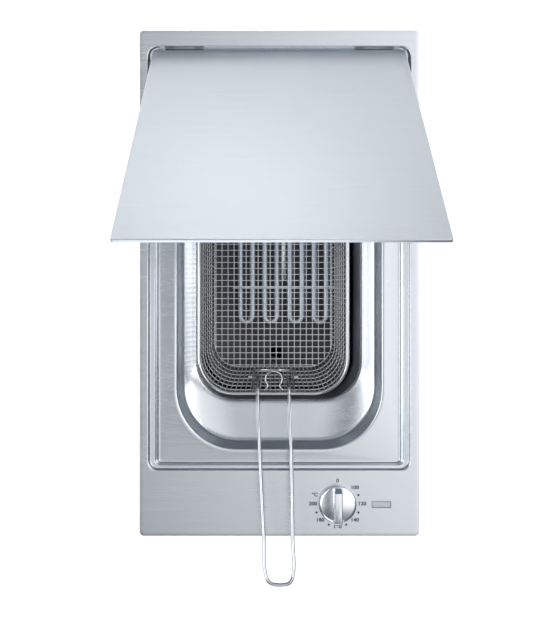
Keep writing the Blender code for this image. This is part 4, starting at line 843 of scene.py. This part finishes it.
for side in ("left", "right"):
    refined(f"element_bracket_{side}", "root", satin, "satin_steel", 0.5 * MM)
for end in ("front", "rear"):
    refined(f"element_brace_{end}", "element", satin, "satin_steel", 0.3 * MM)
bulb_low, bulb_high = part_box("thermostat_bulb")
bulb = (bulb_low + bulb_high) / 2
half = (bulb_high.y - bulb_low.y) / 2
BULB = (bulb_high.z - bulb_low.z) / 2
made("bulb_drawn", turned("bulb_drawn", bulb, [
    (0, -half), (0.6 * BULB, 0.4 * MM - half), (BULB, 2.6 * MM - half), (BULB, half - 2.6 * MM),
    (0.6 * BULB, half - 0.4 * MM), (0, half)], (0, 1, 0), 28), "element", nickel, "brass",
     ("thermostat_bulb",))
capillary = [(bulb.x, bulb_high.y + 0.2 * MM, bulb.z)] + riser(bulb.x, bulb.z)
wire("capillary_drawn", [capillary], 1 * MM, "element", cast_brass, "brass", ("bulb_capillary",), sides=10)


# ---- basket ----
# A tapering trough of plated steel wire: walls of upright stakes welded inside wider spaced rings, a woven
# floor, and a heavy rim wire that the stakes hang from.
rim_low, rim_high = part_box("basket_rim")
mesh_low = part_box("basket_mesh")[0]
RIM_WIRE = (rim_high.z - rim_low.z) / 2
RIM_Z = (rim_low.z + rim_high.z) / 2
BASKET_HEIGHT = RIM_Z - mesh_low.z
BASKET_TAPER = (10.5 * MM, 21 * MM)
BASKET_CORNER, FLOOR_CORNER = 38 * MM, 30 * MM
CLOTH_WIRE = 0.5 * MM
CLOTH_PITCH = 6.7 * MM
WEAVE = 0.3 * MM                              # how far the wires stand off the middle of the cloth
STAKE_PITCH, RING_PITCH = 5.2 * MM, 15 * MM
FOLD, HEM = 1.4 * MM, 1.5 * MM                # the walls turn in at the foot, and the floor ends inside them


def basket_outline(inward, depth_share, z, steps=20, along=14):
    side, end = (inward + depth_share * taper for taper in BASKET_TAPER)
    corner = BASKET_CORNER + (FLOOR_CORNER - BASKET_CORNER) * depth_share - inward
    return ring(rim_low.x + side, rim_high.x - side, rim_low.y + end, rim_high.y - end,
                corner, z, steps, along)


steps, start = tree_for("wire_walls", ("Around", "Int"), ("Down", "Int"), ("Weave", "Float"),
                        ("Radius", "Float"), ("Fold", "Float"))


def math(operation, *inputs):
    return steps.node("ShaderNodeMath", {"operation": operation}, dict(enumerate(inputs)))


grid = steps.node("GeometryNodeMeshGrid", {}, {
    "Size X": 1.0, "Size Y": 1.0, "Vertices X": start["Around"], "Vertices Y": start["Down"]})
index = steps.node("GeometryNodeInputIndex")
column = math("FLOOR", index / start["Down"] + 0.001)
row = index - column * start["Down"]
round_share = column / (start["Around"] - 1)
down_share = row / (start["Down"] - 1)


def on_outline(which, output="Position"):
    """The place or direction on the upper (0) or lower (1) outline, at this share of the way round."""
    return steps.node("GeometryNodeSampleCurve", {"mode": "FACTOR", "use_all_curves": False}, {
        "Curves": start["Geometry"], "Factor": round_share, "Curve Index": which}, output=output)


wall = steps.node("ShaderNodeMix", {"data_type": "VECTOR"}, {
    0: down_share, 4: on_outline(0), 5: on_outline(1)}, output=1)
outward = steps.node("ShaderNodeVectorMath", {"operation": "CROSS_PRODUCT"}, {
    0: on_outline(0, "Tangent"), 1: (0, 0, 1)})
fold = math("POWER", down_share, 14.0) * start["Fold"]
wires = []
for lines, direction in (("rings", 1), ("stakes", -1)):
    offset = start["Weave"] * direction - fold
    moved = steps.node("GeometryNodeSetPosition", {}, {
        "Geometry": grid, "Position": wall,
        "Offset": steps.node("ShaderNodeVectorMath", {"operation": "SCALE"}, {0: outward, "Scale": offset})})
    ends = steps.node("GeometryNodeInputMeshEdgeVertices", {}, {}, output="Vertex Index 1")
    other = Value(steps, ends.socket.node.outputs["Vertex Index 2"])
    across_rows = math("COMPARE", math("ABSOLUTE", ends - other), 1.0, 0.1)
    unwanted = across_rows if lines == "rings" else 1 - across_rows
    kept = steps.node("GeometryNodeDeleteGeometry", {"domain": "EDGE", "mode": "EDGE_FACE"}, {
        "Geometry": moved, "Selection": unwanted})
    wires.append(steps.node("GeometryNodeMeshToCurve", {}, {"Mesh": kept}))
both = steps.tree.nodes.new("GeometryNodeJoinGeometry")
for lines in wires:
    steps.tree.links.new(lines.socket, both.inputs[0])
round_wire = steps.node("GeometryNodeCurvePrimitiveCircle", {}, {"Resolution": 6, "Radius": start["Radius"]})
cloth = steps.node("GeometryNodeCurveToMesh", {}, {
    "Curve": Value(steps, both.outputs[0]), "Profile Curve": round_wire, "Fill Caps": True})
WIRE_WALLS = finish_tree(steps, cloth, start["Material"])

plated = Finish("plated_wire", {"Metallic": 1.0})
sheen = plated.noise(plated.place((90, 90, 90)), detail=2)
drawn_lines = plated.noise(plated.place((1400, 1400, 1400)), detail=2)
plated_wire = plated.surface(
    colour=plated.mix(sheen, (0.93, 0.92, 0.90, 1), (0.99, 0.99, 0.99, 1)),
    roughness=drawn_lines * 0.10 + 0.26,
    height=(drawn_lines, 0.01 * MM, 0.3))
bright = Finish("bright_plate", {"Metallic": 1.0})
haze = bright.noise(bright.place((160, 160, 160)), detail=3)
bright_plate = bright.surface(
    colour=bright.mix(haze, (0.55, 0.56, 0.58, 1), (0.66, 0.67, 0.69, 1)),
    roughness=haze * 0.08 + 0.06,
    height=(haze, 0.02 * MM, 0.2))

floor_z = mesh_low.z + 1.0 * MM
wall_top = basket_outline(RIM_WIRE, 0, RIM_Z - 0.4 * MM)
wall_foot = basket_outline(RIM_WIRE, 1, floor_z)
perimeter = sum((b - a).length for a, b in zip(wall_top, wall_top[1:] + wall_top[:1]))
AROUND = 2 * round(perimeter / STAKE_PITCH / 2) + 1
DOWN = round(BASKET_HEIGHT / RING_PITCH) + 1
grown("basket_walls", WIRE_WALLS, curves_from("basket_walls", [wall_top, wall_foot], True), "basket",
      plated_wire, "basket_wire", ("basket_mesh",), Around=AROUND, Down=DOWN, Weave=WEAVE, Radius=CLOTH_WIRE,
      Fold=FOLD)
foot_low, foot_high = (Vector((pick(p.x for p in wall_foot), pick(p.y for p in wall_foot), 0))
                       for pick in (min, max))
foot = (foot_low + foot_high) / 2
reach_x, reach_y = ((span / 2 - HEM) for span in (foot_high - foot_low).xy)
corner = FLOOR_CORNER - RIM_WIRE - HEM


def half_chord(offset, along_reach, across_reach):
    """Half the length of a straight wire that crosses the rounded floor at an offset from its middle."""
    over = max(abs(offset) - across_reach + corner, 0)
    return along_reach - corner + (corner ** 2 - over ** 2) ** 0.5


floor_wires = []
for lengthwise in (False, True):
    along_reach, across_reach = (reach_y, reach_x) if lengthwise else (reach_x, reach_y)
    count = int(2 * across_reach / CLOTH_PITCH)
    for n in range(count + 1):
        offset = (n - count / 2) * CLOTH_PITCH
        chord = half_chord(offset, along_reach, across_reach)
        crossings = int(2 * chord / CLOTH_PITCH) + 1
        path = []
        for k in range(crossings + 1):
            run = -chord + 2 * chord * k / crossings
            lift = WEAVE * (1 if (n + k + lengthwise) % 2 else -1)
            x, y = (offset, run) if lengthwise else (run, offset)
            path.append(Vector((foot.x + x, foot.y + y, floor_z + lift)))
        floor_wires.append(path)
wire("basket_floor", floor_wires, CLOTH_WIRE, "basket", plated_wire, "basket_wire", sides=6)
BRIGHT_WIRE = "basket", bright_plate, "bright_chrome"
wire("basket_rim_wire", [basket_outline(RIM_WIRE, 0, RIM_Z, 24, 24)], RIM_WIRE, *BRIGHT_WIRE,
     ("basket_rim",), closed=True)


# ---- handle bracket, catch loop and handle ----
# One bent wire, brazed inside the rim, holds the handle's two turned-out ends in its eyes, with a small catch
# loop between them; the handle is a long U of heavier wire that lies over the rim and slopes up to the cook.
PIVOT = Vector(joints["handle_fold"]["pos_m"])
handle_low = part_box("basket_handle")[0]
HANDLE_WIRE = 2 * MM
BRACKET_WIRE = 1.25 * MM
HANDLE_SPREAD, HANDLE_END = 32.2 * MM, 26.6 * MM
HANDLE_SLOPE, HANDLE_LEAN = radians(15.5), radians(2.0)
PIVOT_INSET = PIVOT.y - rim_low.y
BRACKET_DROP = 20 * MM
bracket_half = HANDLE_SPREAD / 2 + HANDLE_WIRE + 2.6 * MM
eye = HANDLE_WIRE + 0.5 * MM + BRACKET_WIRE
wall_front = rim_low.y + 2 * RIM_WIRE + 0.3 * MM
bracket_path = []
for sign in (-1, 1):
    x = PIVOT.x + sign * bracket_half
    leg = [Vector((x, wall_front + BRACKET_WIRE, RIM_Z + 0.5 * MM)),
           Vector((x, PIVOT.y - eye - 1 * MM, PIVOT.z + 9 * MM)),
           Vector((x, PIVOT.y + 1 * MM, PIVOT.z + eye + 0.4 * MM)),
           Vector((x, PIVOT.y + eye + 0.4 * MM, PIVOT.z + 0.5 * MM)),
           Vector((x, PIVOT.y + eye + 2 * MM, PIVOT.z - 10 * MM)),
           Vector((x, PIVOT.y + eye + 2 * MM, PIVOT.z + 3 * MM - BRACKET_DROP)),
           Vector((x - sign * 2.2 * MM, PIVOT.y + eye + 2 * MM, PIVOT.z - BRACKET_DROP))]
    bracket_path += leg if sign < 0 else list(reversed(leg))
wire("handle_bracket", [smooth(bracket_path, parts=5)], BRACKET_WIRE, *BRIGHT_WIRE, ("basket_bracket",),
     sides=12)
wire("handle_eyes", [arc((PIVOT.x + sign * bracket_half, PIVOT.y, PIVOT.z), eye, 0, 345, 23, UPRIGHT)
                     for sign in (-1, 1)], BRACKET_WIRE, *BRIGHT_WIRE, sides=12, closed=True)
LOOP_WIRE = 0.9 * MM
loop_y = wall_front + LOOP_WIRE
LOOP_RADIUS = 8.6 * MM
feet = [Vector((PIVOT.x + x * MM, loop_y + y * MM, RIM_Z))
        for x, y in ((-9.5, 0), (-6.5, 2.5), (7.5, 2.5), (10.5, 0))]
loop_path = feet[:2] + arc((PIVOT.x + 0.5 * MM, loop_y + 11 * MM, RIM_Z), LOOP_RADIUS, 225, -45, 14, FLAT)
wire("catch_loop_wire", [smooth(loop_path + feet[2:], parts=3)], LOOP_WIRE, *BRIGHT_WIRE, ("catch_loop",),
     sides=12)

reach = PIVOT.y - handle_low.y - HANDLE_WIRE
crest = Vector((0, 3 * MM - PIVOT_INSET, RIM_Z - PIVOT.z + RIM_WIRE + HANDLE_WIRE + 0.6 * MM))
END_BEND = 9 * MM


def handle_point(across, along):
    """A point of the handle, across its width and along -Y from the pivot."""
    lean = max(along - PIVOT_INSET, 0) * sin(HANDLE_LEAN)
    rise = crest.z + (along + crest.y) * tan(HANDLE_SLOPE)
    return PIVOT + Vector((across + lean, -along, rise))


def handle_leg(sign):
    """From the turned-out end in its eye, up over the rim and out along the slope."""
    half = HANDLE_SPREAD / 2
    leg = [PIVOT + Vector((sign * (half + out), 0, 0)) for out in (10 * MM, 6 * MM, 2.5 * MM)]
    leg += [PIVOT + Vector((sign * half, -0.8 * MM, 2.2 * MM)),
            PIVOT + Vector((sign * half, crest.y + 7.5 * MM, crest.z - 7 * MM)),
            PIVOT + Vector((sign * half, crest.y + 4 * MM, crest.z - 1.6 * MM))]
    for along in (-crest.y + 2.5 * MM, 40 * MM, 75 * MM, 105 * MM, 135 * MM, 160 * MM, reach - END_BEND):
        drawn_in = max(0.0, (along - 60 * MM) / (reach - 60 * MM)) ** 1.4
        leg.append(handle_point(sign * (half - (HANDLE_SPREAD - HANDLE_END) / 2 * drawn_in), along))
    return leg


end_bend = []
for first, sign in ((180, -1), (270, 1)):
    for n in range(5):
        angle = radians(first + 90 * n / 4)
        end_bend.append(handle_point(sign * (HANDLE_END / 2 - END_BEND) + END_BEND * cos(angle),
                                     reach - END_BEND - END_BEND * sin(angle)))
handle_path = handle_leg(-1) + end_bend[1:-1] + list(reversed(handle_leg(1)))
wire("handle_wire", [smooth(handle_path, parts=6)], HANDLE_WIRE, "handle", bright_plate, "bright_chrome",
     ("basket_handle",), sides=24)


# ---- knob, scale and lamp ----
# A solid metal knob with a grip bar, pushed on the thermostat's shaft; the scale is printed on the panel,
# and a pale lens covers the lamp beside it.
def grip_ring(half, radius, z, parts=12):
    """The outline where a round bar of a radius is narrowed to a grip of half its width."""
    end = (radius ** 2 - half ** 2) ** 0.5
    spread = atan2(half, end)
    points = []
    for facing in (1, -1):
        for n in range(parts):
            points.append(Vector((KNOB.x + facing * half, KNOB.y + facing * end * (2 * n / parts - 1), z)))
        for n in range(parts):
            angle = spread * (1 - 2 * n / parts)
            points.append(Vector((KNOB.x + facing * radius * sin(angle),
                                  KNOB.y + facing * radius * cos(angle), z)))
    return points


knob_low, knob_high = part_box("control_knob")
KNOB_RADIUS = (knob_high.x - knob_low.x) / 2
SKIRT = TOP + 7.5 * MM
GRIP_FOOT, GRIP_TOP = 5.3 * MM, 3.9 * MM      # half widths
DOME = 2.0 * MM
knob_metal = brushed("knob_metal", (0.92, 0.94, 0.97, 1), (0.80, 0.83, 0.88, 1), 0.20)
knob_middle = Vector((KNOB.x, KNOB.y, 0))
disc = linked("knob_turned", turned("knob_disc", knob_middle, [
    (0, knob_low.z), (KNOB_RADIUS - 0.5 * MM, knob_low.z), (KNOB_RADIUS, knob_low.z + 0.5 * MM),
    (KNOB_RADIUS, SKIRT - 1.2 * MM), (KNOB_RADIUS - 0.15 * MM, SKIRT - 0.6 * MM),
    (KNOB_RADIUS - 0.6 * MM, SKIRT - 0.2 * MM)] + [
    (KNOB_RADIUS * share, SKIRT + DOME * (1 - share ** 2))
    for share in (0.94, 0.85, 0.7, 0.55, 0.4, 0.25, 0.1)] + [(0, SKIRT + DOME)], sides=96))
grip = linked("knob_grip", loft("knob_grip", [
    grip_ring(half, radius, z) for half, radius, z in (
        (GRIP_FOOT + 0.4 * MM, KNOB_RADIUS - 1.6 * MM, SKIRT - 2 * MM),
        (GRIP_FOOT, KNOB_RADIUS - 0.6 * MM, SKIRT),
        (GRIP_FOOT - 0.3 * MM, KNOB_RADIUS - 0.3 * MM, SKIRT + 1 * MM),
        (GRIP_TOP + 0.5 * MM, KNOB_RADIUS, knob_high.z - 1.2 * MM),
        (GRIP_TOP + 0.2 * MM, KNOB_RADIUS - 0.2 * MM, knob_high.z - 0.5 * MM),
        (GRIP_TOP - 0.3 * MM, KNOB_RADIUS - 0.7 * MM, knob_high.z - 0.12 * MM),
        (GRIP_TOP - 0.8 * MM, KNOB_RADIUS - 1.2 * MM, knob_high.z))], cap_first=True, cap_last=True))
SOCKET, SOCKET_TOP = 3.4 * MM, TOP + 12.3 * MM
bore = linked("knob_socket", turned("knob_socket", knob_middle, [
    (0, 0), (SOCKET, 0), (SOCKET, SOCKET_TOP), (0, SOCKET_TOP)], sides=24))
made("knob_turned", carved(disc, ("UNION", grip), ("DIFFERENCE", bore)), "knob", knob_metal, "knob_metal",
     ("control_knob",), 28)
refined("knob_shaft", "knob", satin, "satin_steel", 0.3 * MM)
# a dark blue-grey patch laid across the rear end of the grip, from just under its top to just above it
grip_end_finish = plain("pointer_inlay", (0.16, 0.19, 0.24, 1), (0.10, 0.12, 0.16, 1), 0.35, 2500, 0.01 * MM)
GRIP_END_HALF = (GRIP_TOP - 0.5 * MM, 2.7 * MM)
grip_end_middle = Vector((KNOB.x, KNOB.y + KNOB_RADIUS - 1.1 * MM - GRIP_END_HALF[1], 0))
made("grip_end_patch", upright("grip_end_patch", grip_end_middle, GRIP_END_HALF, 0.4 * MM, knob_high.z - 0.8 * MM,
                             knob_high.z + 0.06 * MM), "knob", grip_end_finish, "black_plastic")

ink = plain("panel_ink", (0.035, 0.037, 0.045, 1), (0.02, 0.021, 0.027, 1), 0.5, 3000, 0.01 * MM)
INK = 0.06 * MM
SCALE_RADIUS = 25.2 * MM
FIGURE, BOLD, STRETCH = 5.1 * MM, 0.17 * MM, 1.12
DOT_RADIUS, DOT = 23.3 * MM, 1.15 * MM
KNOB_TOP = Vector((KNOB.x, KNOB.y, TOP))
marks = []
for bearing, text in ((0, "0"), (45, "100"), (90, "120"), (135, "140"), (180, "160"), (225, "180"),
                      (270, "200"), (293, "\u00b0C")):
    letters = bpy.data.curves.new("figure", "FONT")
    letters.body = text
    letters.size = FIGURE
    letters.align_x, letters.align_y = "CENTER", "CENTER"
    letters.offset = BOLD
    mesh = evaluated(linked("figure", letters))
    angle = radians(bearing)
    place = KNOB_TOP + Vector((SCALE_RADIUS * sin(angle), (SCALE_RADIUS - 1.6 * MM) * cos(angle), INK))
    mesh.transform(Matrix.Translation(place) @ Matrix.Diagonal((STRETCH, 1, 1, 1)))
    marks.append(mesh)
for bearing in (67.5, 112.5, 157.5, 202.5, 247.5):
    angle = radians(bearing)
    place = KNOB_TOP + DOT_RADIUS * Vector((sin(angle), cos(angle), 0))
    marks.append(loft("dot", [[place + Vector((DOT * cos(turn), DOT * sin(turn), INK))
                               for turn in (2 * pi * n / 20 for n in range(20))]], cap_last=True))
made("scale_print", together("scale_print", marks), "root", ink, "black_plastic")

lens = Finish("lamp_lens", {"Coat Weight": 0.6, "Transmission Weight": 0.25, "IOR": 1.49})
ribbed = lens.node("ShaderNodeTexWave", {"wave_type": "BANDS", "bands_direction": "X"}, {
    "Vector": lens.place(), "Scale": 420.0, "Distortion": 0.0})
haze = lens.noise(lens.place((700, 700, 700)), detail=2)
lamp_lens = lens.surface(
    colour=lens.mix(haze, (0.74, 0.77, 0.84, 1), (0.82, 0.85, 0.90, 1)),
    roughness=haze * 0.10 + 0.12,
    height=(ribbed * 0.6 + haze * 0.4, 0.05 * MM, 0.3))
lens_rings = [ring(lens_low.x + inset, lens_high.x - inset, lens_low.y + inset, lens_high.y - inset,
                   LAMP_CORNER, z, 8, 6)
              for inset, z in ((0, lens_low.z), (0, TOP - 0.4 * MM), (0.15 * MM, TOP - 0.1 * MM),
                               (1.0 * MM, lens_high.z - 0.05 * MM), (1.5 * MM, lens_high.z))]
made("lens_cap", loft("lens_cap", lens_rings, cap_first=True, cap_last=True), "root", lamp_lens, "lamp_lens",
     ("indicator_lens",))


low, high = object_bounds()
